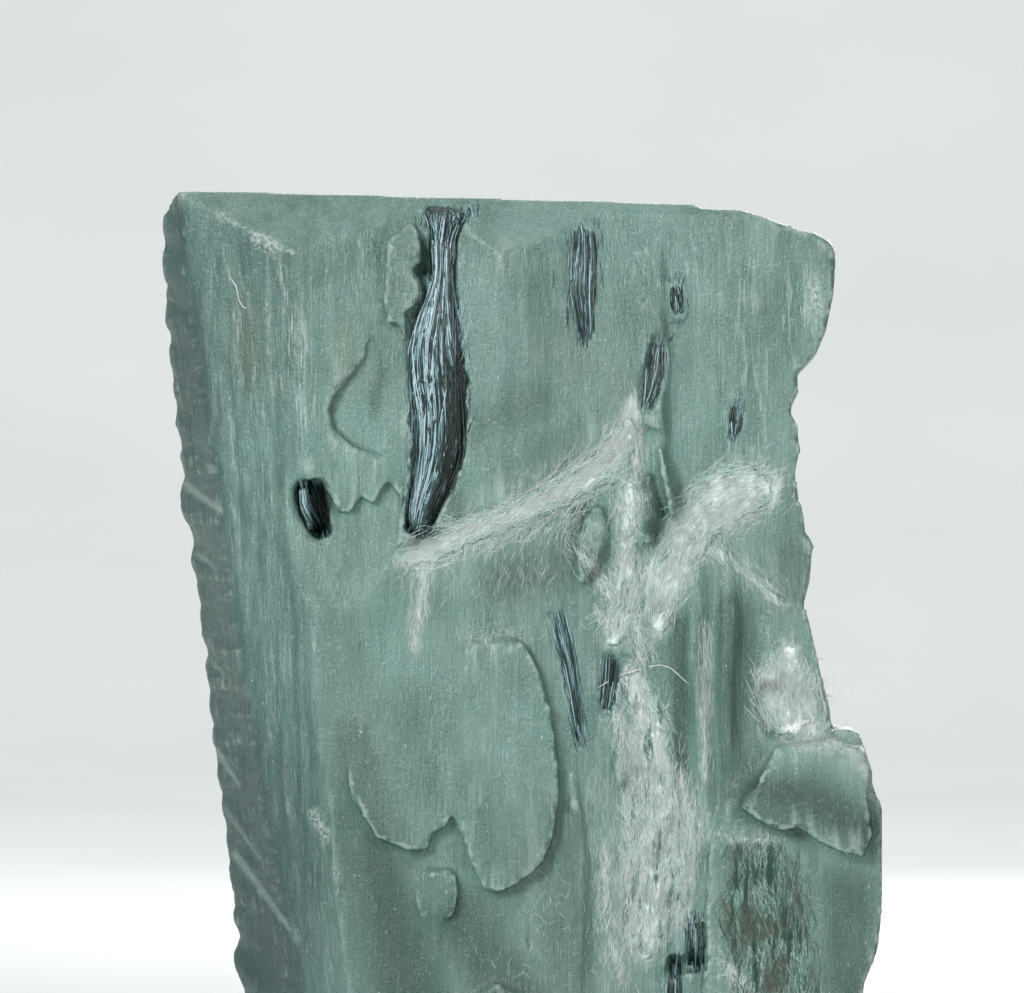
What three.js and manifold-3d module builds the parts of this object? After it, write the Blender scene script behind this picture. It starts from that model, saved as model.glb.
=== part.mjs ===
// A grey-green adularia crystal, flat on its broken base, with byssolite in and on it.
// The adularia is one piece: a wedge-topped main crystal, the growth plates on its right,
// a second crystal grown onto its lower right corner, and the thin layers on its front.
// The byssolite is dark needle bundles, each in its own slot, and pale felt in shallow troughs.
// Millimetres, +Z up, the good face looks along -Y, the origin is under the middle of the block.

import * as THREE from "three";
import { mergeVertices } from "three/addons/utils/BufferGeometryUtils.js";
import Module from "manifold-3d";

// Driving dimensions
const HALF_WIDTH = 21.7;
const HALF_DEPTH = 13.6;
const HEIGHT = 62;
const GAP = 0.3; // between a byssolite piece and the adularia around it
const FACE = -12.4; // the main front face
const OUTSIDE = -20; // clear of the front, where every slot opens

// The top is a chisel: a steep strip in front of the ridge and a long slope behind it.
const RIDGE = { y: -9.6, leftX: -20.7, leftZ: 62.1, rightX: 10.1, rightZ: 61.3 };
const FRONT_STRIP_LOW = [-13.9, -13.0, 58.2];
const BACK_SLOPE_LOW = [0, 13.2, 49];

const wasm = await Module();
wasm.setup();

// Making solids

function solidOf(geometry) {
  const bare = geometry.clone();
  bare.deleteAttribute("normal");
  bare.deleteAttribute("uv");
  const merged = mergeVertices(bare, 1e-4);
  return new wasm.Manifold(
    new wasm.Mesh({
      numProp: 3,
      vertProperties: new Float32Array(merged.attributes.position.array),
      triVerts: new Uint32Array(merged.index.array),
    }),
  );
}

function geometryOf(solid) {
  const mesh = solid.getMesh();
  const geometry = new THREE.BufferGeometry();
  geometry.setAttribute("position", new THREE.BufferAttribute(mesh.vertProperties, 3));
  geometry.setIndex(new THREE.BufferAttribute(mesh.triVerts, 1));
  const flat = geometry.toNonIndexed();
  flat.computeVertexNormals();
  return flat;
}

// A repeatable number from 0 to 1 for each whole number.
function jitter(n) {
  const wave = Math.sin(n * 12.9898 + 4.1) * 43758.5453;
  return wave - Math.floor(wave);
}

// A closed skin over rings with the same number of points, each end closed to its middle.
function loft(rings) {
  const count = rings[0].length;
  const points = rings.flat().map((p) => new THREE.Vector3(...p));
  const middleOf = (ring) =>
    ring.reduce((sum, p) => sum.add(new THREE.Vector3(...p)), new THREE.Vector3()).divideScalar(count);
  const first = points.push(middleOf(rings[0])) - 1;
  const last = points.push(middleOf(rings[rings.length - 1])) - 1;
  const faces = [];
  for (let i = 0; i < count; i++) {
    const next = (i + 1) % count;
    for (let r = 0; r + 1 < rings.length; r++) {
      const [a, b] = [r * count + i, r * count + next];
      faces.push([a, b, b + count], [a, b + count, a + count]);
    }
    const end = (rings.length - 1) * count;
    faces.push([first, next, i], [last, end + i, end + next]);
  }
  const volume = faces.reduce(
    (sum, [a, b, c]) => sum + points[a].dot(points[b].clone().cross(points[c])),
    0,
  );
  const outward = volume > 0 ? faces : faces.map(([a, b, c]) => [a, c, b]);
  const geometry = new THREE.BufferGeometry().setFromPoints(points);
  geometry.setIndex(outward.flat());
  return geometry;
}

// A plate with a front outline of [x, z] points, from y = front to y = back.
// Yaw swings it about an upright line, and pitch tips it about a level one, both through a point.
function plate(outline, front, back, { yaw = 0, pitch = 0, about = [0, 0, 0] } = {}) {
  const shape = new THREE.Shape(outline.map(([x, z]) => new THREE.Vector2(x, z)));
  const geometry = new THREE.ExtrudeGeometry(shape, { depth: back - front, bevelEnabled: false });
  geometry.rotateX(Math.PI / 2);
  geometry.translate(-about[0], back - about[1], -about[2]);
  geometry.rotateX(THREE.MathUtils.degToRad(pitch));
  geometry.rotateZ(THREE.MathUtils.degToRad(yaw));
  geometry.translate(...about);
  return solidOf(geometry);
}

// All the space above the plane through three points.
function above(a, b, c) {
  const size = 150;
  const [p, q, r] = [a, b, c].map((point) => new THREE.Vector3(...point));
  const up = q.clone().sub(p).cross(r.clone().sub(p)).normalize();
  if (up.z < 0) up.negate();
  const box = new THREE.BoxGeometry(size, size, size).translate(0, 0, size / 2);
  box.applyQuaternion(new THREE.Quaternion().setFromUnitVectors(new THREE.Vector3(0, 0, 1), up));
  box.translate(p.x, p.y, p.z);
  return solidOf(box);
}

// Stations [x, z, half width, crest y] down the middle of a streak on the front,
// each with the direction across the streak.
function across(stations) {
  return stations.map(([x, z, half, crest], i) => {
    const before = stations[Math.max(i - 1, 0)];
    const after = stations[Math.min(i + 1, stations.length - 1)];
    const run = new THREE.Vector2(after[0] - before[0], after[1] - before[1]).normalize();
    return { x, z, half, crest, run, side: new THREE.Vector2(-run.y, run.x) };
  });
}

// A streak's solid: flat at the floor, crowned and ribbed lengthwise in front.
function streak(stations, floor, { ribs = 5, depth = 0.3, seed = 1 } = {}) {
  const steps = ribs * 2;
  const rings = across(stations).map(({ x, z, half, crest, side }, i) => {
    const ring = [];
    for (let k = 0; k <= steps; k++) {
      const s = -1 + (2 * k) / steps;
      const crown = 0.35 + 0.65 * Math.sqrt(1 - s * s * 0.96);
      const rib = k % 2 ? 1 : 1 - depth * (0.5 + jitter(seed * 31 + k + i * 0.37));
      ring.push([x + side.x * half * s, floor + (crest - floor) * crown * rib, z + side.y * half * s]);
    }
    ring.push([x + side.x * half * 0.9, floor, z + side.y * half * 0.9]);
    ring.push([x - side.x * half * 0.9, floor, z - side.y * half * 0.9]);
    return ring;
  });
  return solidOf(loft(rings));
}

// The slot that a streak lies in, wider than it by the gap all round and open to the front.
function slotFor(stations, floor) {
  const last = stations.length - 1;
  const rings = across(stations).map(({ x, z, half, run, side }, i) => {
    const past = i === 0 ? -1.4 * GAP : i === last ? 1.4 * GAP : 0;
    const [cx, cz, w] = [x + run.x * past, z + run.y * past, half + GAP];
    return [
      [cx - side.x * w, OUTSIDE, cz - side.y * w],
      [cx + side.x * w, OUTSIDE, cz + side.y * w],
      [cx + side.x * w, floor + GAP, cz + side.y * w],
      [cx - side.x * w, floor + GAP, cz - side.y * w],
    ];
  });
  return solidOf(loft(rings));
}

// The adularia

// Level sections of the main crystal, from [x, y] at the left ridge round by the front.
// The left face runs from the ridge to the second point, the striated facet on to the third.
// Towards the top the front rises and sinks in upright furrows, which scallop the front strip.
const SECTIONS = [
  { z: -2, points: [[-15.2, -1.0], [-11.1, -8.8], [-7.4, -11.8], [-5.6, -11.9], [-4.1, -11.9], [-2.6, -12.0],
    [-1.0, -12.1], [0.6, -12.1], [4.1, -12.0], [8.8, -11.7], [12.5, -9], [14, 1], [9.5, 9.8], [-1, 11.6],
    [-10, 8.6]] },
  { z: 14, points: [[-16.95, -1.2], [-13.6, -9.2], [-10.4, -12.4], [-7.6, -12.4], [-5.4, -12.4],
    [-3.1, -12.4], [-1.0, -12.5], [0.6, -12.4], [4.1, -12.3], [8.6, -12.0], [12.4, -9], [13.4, 2],
    [9.5, 10.6], [-2, 12.4], [-11.5, 8.8]] },
  { z: 34, points: [[-19.2, -1.6], [-16.9, -9.5], [-12.4, -12.6], [-8.9, -12.45], [-6.1, -12.4],
    [-3.5, -12.4], [-1.3, -12.5], [0.5, -12.5], [4.1, -12.4], [8.4, -12.2], [11.2, -8], [12, 3], [8.5, 11.2],
    [-3, 12.9], [-14, 8.4]] },
  { z: 50, points: [[-21.1, -2.8], [-19.1, -9.6], [-13.2, -12.7], [-8.9, -12.4], [-6.1, -12.1],
    [-3.6, -12.2], [-1.3, -12.5], [0.5, -12.5], [4.1, -12.1], [8.4, -11.9], [10.4, -8], [11, 3], [7.5, 11.0],
    [-4, 12.9], [-16, 7.8]] },
  { z: 56, points: [[-21.6, -5.2], [-19.9, -9.6], [-13.5, -12.9], [-8.8, -12.1], [-6.1, -11.5],
    [-3.5, -11.9], [-1.3, -12.7], [0.5, -12.5], [4.1, -11.5], [8.4, -11.2], [10.2, -8], [10.8, 3], [7.3, 11],
    [-4.5, 12.9], [-16.8, 7.4]] },
  { z: 61, points: [[-21.6, -7.2], [-20.5, -9.8], [-13.9, -13.1], [-8.8, -11.2], [-6.1, -10.4],
    [-3.4, -11.0], [-1.3, -12.6], [0.5, -12.2], [4.1, -10.3], [8.4, -9.9], [10.1, -7.6], [10.6, 3], [7, 10.8],
    [-5, 12.8], [-17.2, 7.2]] },
  { z: 64, points: [[-21.6, -7.6], [-20.9, -9.8], [-14.0, -13.2], [-8.8, -11.0], [-6.1, -10.2],
    [-3.4, -10.8], [-1.3, -12.5], [0.5, -12.0], [4.1, -10.2], [8.4, -9.8], [10.1, -7.4], [10.6, 3], [7, 10.8],
    [-5, 12.8], [-17.4, 7.1]] },
];
const LEFT_RIDGE = 0;
const FRONT_LEFT_EDGE = 1;
const SECTION_SPACING = 3;

// One point of the sections, at any height between two of them.
function sectionPoint(index, z) {
  const upper = Math.max(SECTIONS.findIndex((section) => section.z >= z), 1);
  const [below, over] = [SECTIONS[upper - 1], SECTIONS[upper]];
  const share = (z - below.z) / (over.z - below.z);
  return below.points[index].map((value, axis) => value + (over.points[index][axis] - value) * share);
}

function mainCrystal() {
  const rings = [];
  const [bottom, top] = [SECTIONS[0].z, SECTIONS[SECTIONS.length - 1].z];
  const levels = Math.round((top - bottom) / SECTION_SPACING);
  for (let i = 0; i <= levels; i++) {
    const z = bottom + ((top - bottom) * i) / levels;
    rings.push(SECTIONS[0].points.map((_, index) => [...sectionPoint(index, z), z]));
  }
  return solidOf(loft(rings));
}

// Growth plates that make the stepped right side, front to back.
const RIGHT_PLATES = [
  { front: -11.5, back: -3.2, tilt: { pitch: -2.4, about: [8, -11.5, 32] },
    outline: [[4.7, 61.4], [10.4, 61.3], [10.9, 61.0], [13.3, 60.9], [14.5, 60.5], [16.7, 59.6], [17.6, 59.5],
      [18.7, 58.9], [18.9, 58.0], [18.8, 55.9], [18.4, 53.7], [17.8, 52.3], [16.6, 51.0], [16.7, 50.0],
      [16.2, 48.9], [16.6, 47.9], [16.8, 46.5], [16.5, 45.1], [16.7, 43.5], [16.9, 42.9], [17.1, 41.5],
      [17.6, 40.9], [17.5, 40.0], [17.4, 38.6], [17.0, 37.1], [17.5, 35.4], [18.0, 33.0], [18.5, 30.4],
      [18.8, 27.0], [18.9, 20.0], [18.2, 12.0], [17.4, 6.0], [16.6, -2], [2.3, -2]] },
  { front: -4.4, back: 3.4, tilt: { yaw: -2, about: [8, -4.4, 30] },
    outline: [[4.7, 56], [12.6, 58.4], [16.2, 57.2], [16.9, 53.6], [15.7, 49.6], [16.0, 45.4], [15.4, 42.2],
      [16.5, 39.8], [17.2, 36.6], [18.0, 33.5], [18.7, 30.7], [19.2, 25.4], [19.5, 19.4], [18.6, 12.4],
      [17.6, 6.4], [17.0, -2], [2.3, -2]] },
  { front: 2.2, back: 9.2, tilt: { yaw: -5, about: [8, 2.2, 30] },
    outline: [[4.7, 50], [11.6, 53.2], [14.2, 51.8], [14.8, 46.4], [13.9, 43.0], [15.4, 38.2], [15.0, 34.0],
      [16.6, 29.0], [17.2, 22.4], [16.2, 14.4], [15.4, 7.4], [15.6, -2], [2.3, -2]] },
];

// The second crystal at the lower right corner, its top shelf, and the plates on the back.
const CORNER_CRYSTAL = [[15.3, 28.5], [18.7, 28.7], [18.9, 29.6], [20.1, 29.5], [20.5, 28.7], [21.1, 27.1],
  [21.1, 26.3], [21.4, 25.6], [21.7, 24.9], [21.7, 19.9], [21.6, 17.7], [21.4, 16.3], [20.6, 14.3],
  [20.2, 11.6], [19.7, 7.4], [19.0, -2], [10.7, -2], [10.9, 13.4], [11.3, 22.4], [12.4, 25.7], [14.2, 26.8]];
const CORNER_SHELF = [[15.3, 28.7], [18.7, 29.0], [20.5, 28.5], [20.8, 27.2], [20.7, 25.4], [21.0, 23.3],
  [20.5, 22.1], [19.4, 22.3], [18.4, 22.7], [17.5, 23.2], [16.8, 23.8], [15.5, 23.6], [14.3, 24.2],
  [13.1, 25.0], [13.4, 25.7], [14.2, 26.4]];
const BACK_PLATES = [
  { front: 8, back: 12.9, tilt: { yaw: 3, about: [-2, 8, 24] },
    outline: [[-13.5, -2], [-14.6, 12], [-15.2, 26], [-14.0, 33], [-14.6, 38.5], [-9, 41.2], [-5.2, 39.8],
      [-1.0, 42.4], [4.2, 38.6], [6.0, 31.2], [5.4, 24.0], [7.8, 15.8], [8.4, 7], [7.6, -2]] },
  { front: 9, back: 13.6, tilt: {},
    outline: [[-10.8, 6.2], [-11.6, 15.4], [-10.4, 22.8], [-11.2, 29.6], [-7.4, 33.0], [-4.0, 31.6],
      [-1.8, 34.2], [1.6, 29.8], [0.8, 23.4], [2.9, 16.2], [2.2, 8.8], [-3.6, 4.4]] },
];

// A flake standing beside the main bundle.
const FLAKE = [[-8.0, 58.8], [-6.5, 60.2], [-6.0, 58.6], [-6.0, 57.7], [-6.6, 57.2], [-6.0, 56.5],
  [-5.9, 55.5], [-6.6, 54.9], [-7.0, 54.7], [-6.9, 53.3], [-7.2, 52.3], [-7.8, 52.6], [-8.2, 55.4]];

// Hollows flaked out of the upper front. Each is deep at its ragged edge and runs out to nothing.
const LEFT_HOLLOW = [[-8.6, 54.1], [-9.3, 52.7], [-9.4, 51.8], [-10.3, 50.8], [-11.2, 49.7], [-11.5, 48.8],
  [-11.2, 47.6], [-10.1, 46.6], [-8.6, 46.0], [-7.0, 46.6], [-6.3, 49.4], [-6.6, 52.4], [-7.3, 54.1]];
const LOWER_LEFT_HOLLOW = [[-13.9, 44.1], [-11.5, 43.9], [-11.0, 42.7], [-10.3, 42.6], [-9.6, 43.7],
  [-8.9, 43.1], [-8.0, 44.6], [-7.2, 43.6], [-7.4, 40.2], [-9.2, 37.6], [-12.4, 37.2], [-14.2, 39.8]];

// The front below the felt arc is sunken, more and more towards the right.
const SUNKEN_FRONT = [[-7.2, 39.9], [-4.9, 40.8], [-3.1, 41.3], [-0.7, 42.1], [1.7, 43.0], [3.5, 43.8],
  [5.0, 45.1], [6.1, 46.5], [7.2, 48.0], [9.0, 47.4], [11.8, 46.0], [14.2, 44.8], [15.2, 42.6], [15.0, 39.0],
  [14.6, 34.4], [13.8, 30.2], [12.6, 25.6], [11.6, 20], [11.2, -3], [-4.4, -3], [-6.4, 12], [-9.2, 21],
  [-8.2, 30], [-6.7, 34.6], [-6.4, 38.0]];
const SUNKEN_YAW = 2.9;
const SUNKEN_LEFT = [-9, -12.35];

function sunkenFloor(x) {
  return SUNKEN_LEFT[1] + (x - SUNKEN_LEFT[0]) * Math.tan(THREE.MathUtils.degToRad(SUNKEN_YAW));
}

// Layers standing on the sunken front. Each stands out by its raise at the point that it tilts about.
const LOW_LAYERS = {
  largePetal: { raise: 1.0, yaw: -0.5, pitch: 0, at: [1.6, 26],
    outline: [[-4.0, 24.5], [-3.9, 28.7], [-4.1, 32.4], [-3.4, 34.8], [-2.3, 35.4], [-1.3, 35.3], [0.2, 34.7],
      [1.1, 32.9], [1.8, 30.4], [2.15, 27.8], [2.2, 25.5], [1.9, 23.2], [1.2, 21.6], [-0.2, 20.4],
      [-1.4, 19.8], [-2.2, 20.0], [-3.1, 21.8]] },
  leftPetal: { raise: 0.9, yaw: 3, pitch: -4.2, at: [-6, 22.4],
    outline: [[-4.2, 24.4], [-4.6, 23.8], [-5.4, 23.3], [-5.6, 22.5], [-6.6, 22.4], [-8.6, 23.2],
      [-10.2, 25.8], [-10.6, 30], [-9.2, 36], [-6.5, 37], [-4.7, 34], [-3.9, 28.7]] },
  roundScale: { raise: 0.55, yaw: 3, pitch: 0, at: [-5, 19.5],
    outline: [[-5.9, 21.1], [-4.9, 21.2], [-4.0, 21.1], [-3.7, 20.0], [-4.0, 18.5], [-4.9, 17.9],
      [-5.9, 18.3], [-6.4, 19.5]] },
  lowScale: { raise: 0.7, yaw: 1, pitch: -2, at: [0, 6],
    outline: [[-3.8, 12.8], [-1.6, 14.4], [1.2, 13.2], [3.4, 10.6], [3.0, 6.8], [0.6, 4.2], [-2.6, 4.8],
      [-4.6, 8.4]] },
};

// Dark clefts that open the main bundle's slot on its right and at its neck.
const BUNDLE_SIDE_HOLLOW = [[-4.2, 54.0], [-3.5, 51.6], [-3.0, 50.3], [-3.5, 50.0], [-3.5, 49.6],
  [-3.2, 48.7], [-3.3, 47.0], [-3.9, 45.3], [-4.4, 44.3], [-5.2, 44.0], [-5.4, 50]];
const BUNDLE_NECK_HOLLOW = [[-5.9, 60.4], [-5.0, 60.6], [-4.9, 55.2], [-5.4, 54.0], [-6.6, 53.6],
  [-6.6, 54.7], [-5.8, 55.2], [-5.6, 56.6], [-6.2, 57.2], [-5.7, 57.8]];

// The left face is shingled: overlapping growth steps run down from the ridge and fade at the front.
// Each entry is the height of a step at the ridge and how far it stands out there.
const LEFT_STEPS = [[60.8, 0.2], [58.7, 0.3], [55.5, 0.2], [52.8, 0.28], [50.9, 0.2], [48.9, 0.25],
  [46.6, 0.18], [44.4, 0.55], [40.5, 0.4], [38.6, 0.25], [36.8, 0.22], [33.6, 0.3], [31.4, 0.2], [29.6, 0.28],
  [27.5, 0.22], [25.4, 0.3], [23.3, 0.24], [21.2, 0.3], [18.8, 0.26], [16.2, 0.6], [12.9, 0.35], [10.4, 0.25],
  [7.6, 0.35], [4.9, 0.25], [2.4, 0.2]];
const STEP_ROOT = 0.5; // how deep a step's foot lies in the crystal

function leftSteps() {
  return LEFT_STEPS.map(([top, out], i) => {
    const bottom = i + 1 < LEFT_STEPS.length ? LEFT_STEPS[i + 1][0] - 0.3 : 0.4;
    const fall = 5.6 - 0.086 * top;
    const end = Math.max(top - fall, 0.9);
    const endBottom = Math.max(bottom - fall, 0.3);
    const wedge = (index, high, low, reach) => {
      const [x, y] = sectionPoint(index, high);
      const [lowX, lowY] = sectionPoint(index, low);
      return [
        [x + STEP_ROOT, y, high + 0.12],
        [x - reach, y, high - 0.28],
        [x - reach * 0.7, y, high - 0.28 - 0.3 * (high - low)],
        [lowX + STEP_ROOT * 0.6, lowY, low],
      ];
    };
    const behind = wedge(LEFT_RIDGE, top, bottom, out * 0.4).map(([x, y, z]) => [x + 1.1, y + 2.6, z + 0.6]);
    return solidOf(
      loft([behind, wedge(LEFT_RIDGE, top, bottom, out), wedge(FRONT_LEFT_EDGE, end, endBottom, -0.15)]),
    );
  });
}

// Folds, ridges and lumps of adularia standing on the sunken front, as streaks of
// [x, z, half width, crest y] stations.
const FOLDS = {
  valleyRidge: [[10.6, 41.2, 0.3, -11.9], [10.6, 37.4, 0.6, -12.4], [10.3, 33.8, 0.6, -12.5],
    [10.8, 30.2, 0.6, -12.5], [11.1, 26.0, 0.5, -12.3], [11.2, 22.4, 0.3, -11.9]],
  rightRidge: [[12.2, 40.6, 0.3, -11.9], [12.5, 36.4, 0.7, -12.4], [12.3, 32.0, 0.6, -12.5],
    [12.5, 28.2, 0.5, -12.3], [12.3, 25.4, 0.3, -11.9]],
  lowRidge: [[2.9, 27.6, 0.25, -11.9], [3.4, 24.0, 0.5, -12.4], [3.6, 19.5, 0.6, -12.5],
    [3.2, 14.0, 0.5, -12.3], [3.0, 10.5, 0.3, -11.9]],
  lath: [[8.3, 46.6, 0.2, -12.2], [8.6, 44.9, 0.35, -13.0], [8.95, 43.4, 0.35, -13.1],
    [9.3, 41.9, 0.25, -12.6], [9.5, 41.0, 0.15, -12.0]],
  lumpUnderArc: [[4.6, 43.0, 0.4, -12.3], [4.4, 42.0, 1.1, -12.9], [4.1, 40.8, 1.3, -13.0],
    [3.9, 39.4, 1.0, -12.7], [3.7, 38.4, 0.4, -12.2]],
  lens: [[7.7, 44.9, 0.25, -12.2], [7.75, 43.6, 0.65, -12.7], [7.75, 42.2, 0.75, -12.7],
    [7.6, 40.8, 0.35, -12.2]],
  eye: [[6.0, 28.9, 0.2, -12.1], [5.95, 28.2, 0.5, -12.5], [5.95, 27.4, 0.6, -12.6],
    [6.0, 26.5, 0.45, -12.5], [6.05, 26.1, 0.2, -12.1]],
};

// Terraces on the long slope behind the ridge: outlines seen from above and how far each is let in.
const TOP_TERRACES = [
  { drop: 0.45, outline: [[-24, 0.2], [-14.5, -2.0], [-9.2, 0.8], [-4.6, -1.2], [1.4, 1.6], [5.2, -0.4],
    [13, 1.2], [13, 20], [-24, 20]] },
  { drop: 1.0, outline: [[-24, 7.6], [-13.0, 6.0], [-8.2, 7.8], [-2.0, 5.4], [2.6, 7.4], [8.0, 6.2],
    [13, 7.4], [13, 20], [-24, 20]] },
];

// The byssolite: streaks of [x, z, half width, crest y] stations, each over its own floor.
const BUNDLES = {
  byssolite_main_bundle: { floor: -9.4, ribs: 6, depth: 0.26,
    stations: [[-4.5, 60.7, 1.15, -10.2], [-4.55, 60.1, 0.85, -10.9],
      [-4.7, 58.9, 0.55, -11.9], [-4.7, 56.8, 0.45, -12.1], [-4.9, 54.6, 0.9, -12.4],
      [-5.1, 52.6, 1.3, -12.7], [-5.0, 50.6, 1.45, -12.8], [-4.9, 48.6, 1.3, -12.7],
      [-4.9, 46.6, 1.25, -12.6], [-5.3, 44.6, 1.05, -12.4], [-5.9, 42.8, 0.75, -12.2],
      [-6.2, 41.7, 0.45, -11.9]] },
  byssolite_top_needles: { floor: -9.8, ribs: 4, depth: 0.24,
    stations: [[3.8, 59.6, 0.45, -11.4], [3.8, 58.0, 0.62, -11.9], [3.7, 55.9, 0.6, -12.1],
      [3.8, 54.2, 0.42, -12.2], [3.9, 53.0, 0.22, -12.0]] },
  byssolite_small_needle: { floor: -10.4, ribs: 3, depth: 0.22,
    stations: [[9.3, 56.2, 0.2, -10.9], [9.35, 55.4, 0.28, -11.0], [9.4, 54.6, 0.2, -11.0]] },
  byssolite_middle_blade: { floor: -9.9, ribs: 3, depth: 0.22,
    stations: [[8.3, 52.8, 0.22, -11.2], [8.05, 51.2, 0.4, -11.6], [7.8, 50.0, 0.36, -11.7],
      [7.55, 49.2, 0.24, -11.6]] },
  byssolite_left_tuft: { floor: -9.6, ribs: 4, depth: 0.26,
    stations: [[-12.7, 44.2, 0.55, -12.2], [-12.6, 43.3, 0.6, -12.5], [-12.3, 42.3, 0.5, -12.4],
      [-12.0, 41.5, 0.28, -12.0]] },
  byssolite_right_sliver: { floor: -10.3, ribs: 3, depth: 0.2,
    stations: [[13.0, 49.0, 0.2, -11.0], [12.9, 48.2, 0.25, -11.1], [12.8, 47.3, 0.18, -11.1]] },
  byssolite_lower_blade: { floor: -10.1, ribs: 3, depth: 0.22,
    stations: [[2.3, 36.4, 0.34, -11.6], [2.6, 35.0, 0.42, -11.7], [3.0, 33.4, 0.3, -11.6],
      [3.3, 31.2, 0.2, -11.6], [3.6, 28.9, 0.15, -11.5]] },
  byssolite_centre_needle: { floor: -9.9, ribs: 3, depth: 0.22,
    stations: [[5.45, 33.8, 0.26, -11.4], [5.4, 32.8, 0.3, -11.5], [5.25, 31.6, 0.24, -11.5],
      [5.1, 30.8, 0.14, -11.4]] },
  byssolite_low_needles: { floor: -9.6, ribs: 4, depth: 0.24,
    stations: [[10.4, 18.0, 0.4, -11.2], [10.5, 16.8, 0.46, -11.4], [10.5, 15.4, 0.36, -11.3]] },
  byssolite_low_vein: { floor: -9.4, ribs: 3, depth: 0.22,
    stations: [[9.3, 15.6, 0.24, -11.2], [9.2, 14.0, 0.36, -11.3], [9.1, 12.0, 0.4, -11.3],
      [8.9, 9.8, 0.24, -11.2]] },
};
const FELTS = {
  byssolite_felt_arc: { floor: -11.3, ribs: 4, depth: 0.16,
    stations: [[-7.0, 39.8, 0.3, -12.6], [-6.1, 40.2, 0.55, -12.9], [-4.3, 40.9, 0.5, -13.0],
      [-1.9, 41.9, 0.5, -13.0], [0.3, 42.8, 0.55, -13.1], [2.0, 43.6, 0.6, -13.2], [3.6, 44.5, 0.75, -13.3],
      [4.9, 45.4, 0.85, -13.3], [5.8, 46.4, 0.7, -13.2], [6.3, 47.4, 0.45, -13.0], [6.5, 48.1, 0.2, -12.7]] },
  byssolite_felt_spine: { floor: -10.8, ribs: 3, depth: 0.18,
    stations: [[6.55, 44.4, 0.15, -12.2], [6.5, 43.2, 0.3, -12.6], [6.4, 41.5, 0.3, -12.6],
      [6.4, 39.7, 0.28, -12.5], [6.3, 37.9, 0.36, -12.5], [6.1, 36.5, 0.45, -12.5], [5.75, 35.5, 0.4, -12.4],
      [5.5, 34.9, 0.2, -12.1]] },
  byssolite_felt_fan: { floor: -10.6, ribs: 5, depth: 0.16,
    stations: [[8.2, 35.7, 0.3, -12.0], [8.5, 37.0, 0.6, -12.4], [9.0, 38.6, 0.8, -12.7],
      [9.6, 40.2, 0.85, -12.8], [10.5, 41.9, 1.1, -12.9], [11.6, 43.1, 1.4, -12.9], [12.8, 43.8, 1.45, -12.8],
      [13.9, 44.1, 1.1, -12.6], [14.7, 44.1, 0.45, -12.2]] },
  byssolite_felt_column: { floor: -10.7, ribs: 6, depth: 0.2,
    stations: [[6.6, 33.2, 0.25, -12.0], [7.0, 31.5, 0.6, -12.4], [7.6, 29.4, 0.8, -12.6],
      [8.0, 27.2, 0.95, -12.7], [8.2, 24.8, 1.3, -12.8], [8.2, 22.4, 1.65, -12.9], [8.1, 20.3, 1.7, -12.9],
      [7.8, 18.6, 1.3, -12.7], [7.5, 17.0, 0.7, -12.3], [7.3, 16.1, 0.3, -12.0]] },
  byssolite_felt_patch: { floor: -10.7, ribs: 5, depth: 0.16,
    stations: [[16.1, 34.3, 0.3, -11.8], [15.9, 33.1, 1.0, -12.2], [15.8, 31.8, 1.6, -12.4],
      [16.3, 30.6, 1.55, -12.4], [16.6, 29.9, 1.2, -12.2]] },
  byssolite_felt_corner: { floor: -11.0, ribs: 6, depth: 0.2,
    stations: [[14.3, 22.9, 0.8, -12.5], [14.3, 21.6, 1.7, -12.9], [14.5, 19.9, 2.1, -13.1],
      [14.8, 18.0, 2.2, -13.1], [15.1, 16.2, 2.2, -13.1], [15.3, 14.0, 2.1, -13.1], [15.3, 11.4, 2.0, -13.0],
      [15.1, 8.8, 1.5, -12.8], [14.9, 7.0, 0.6, -12.5]] },
};

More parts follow.
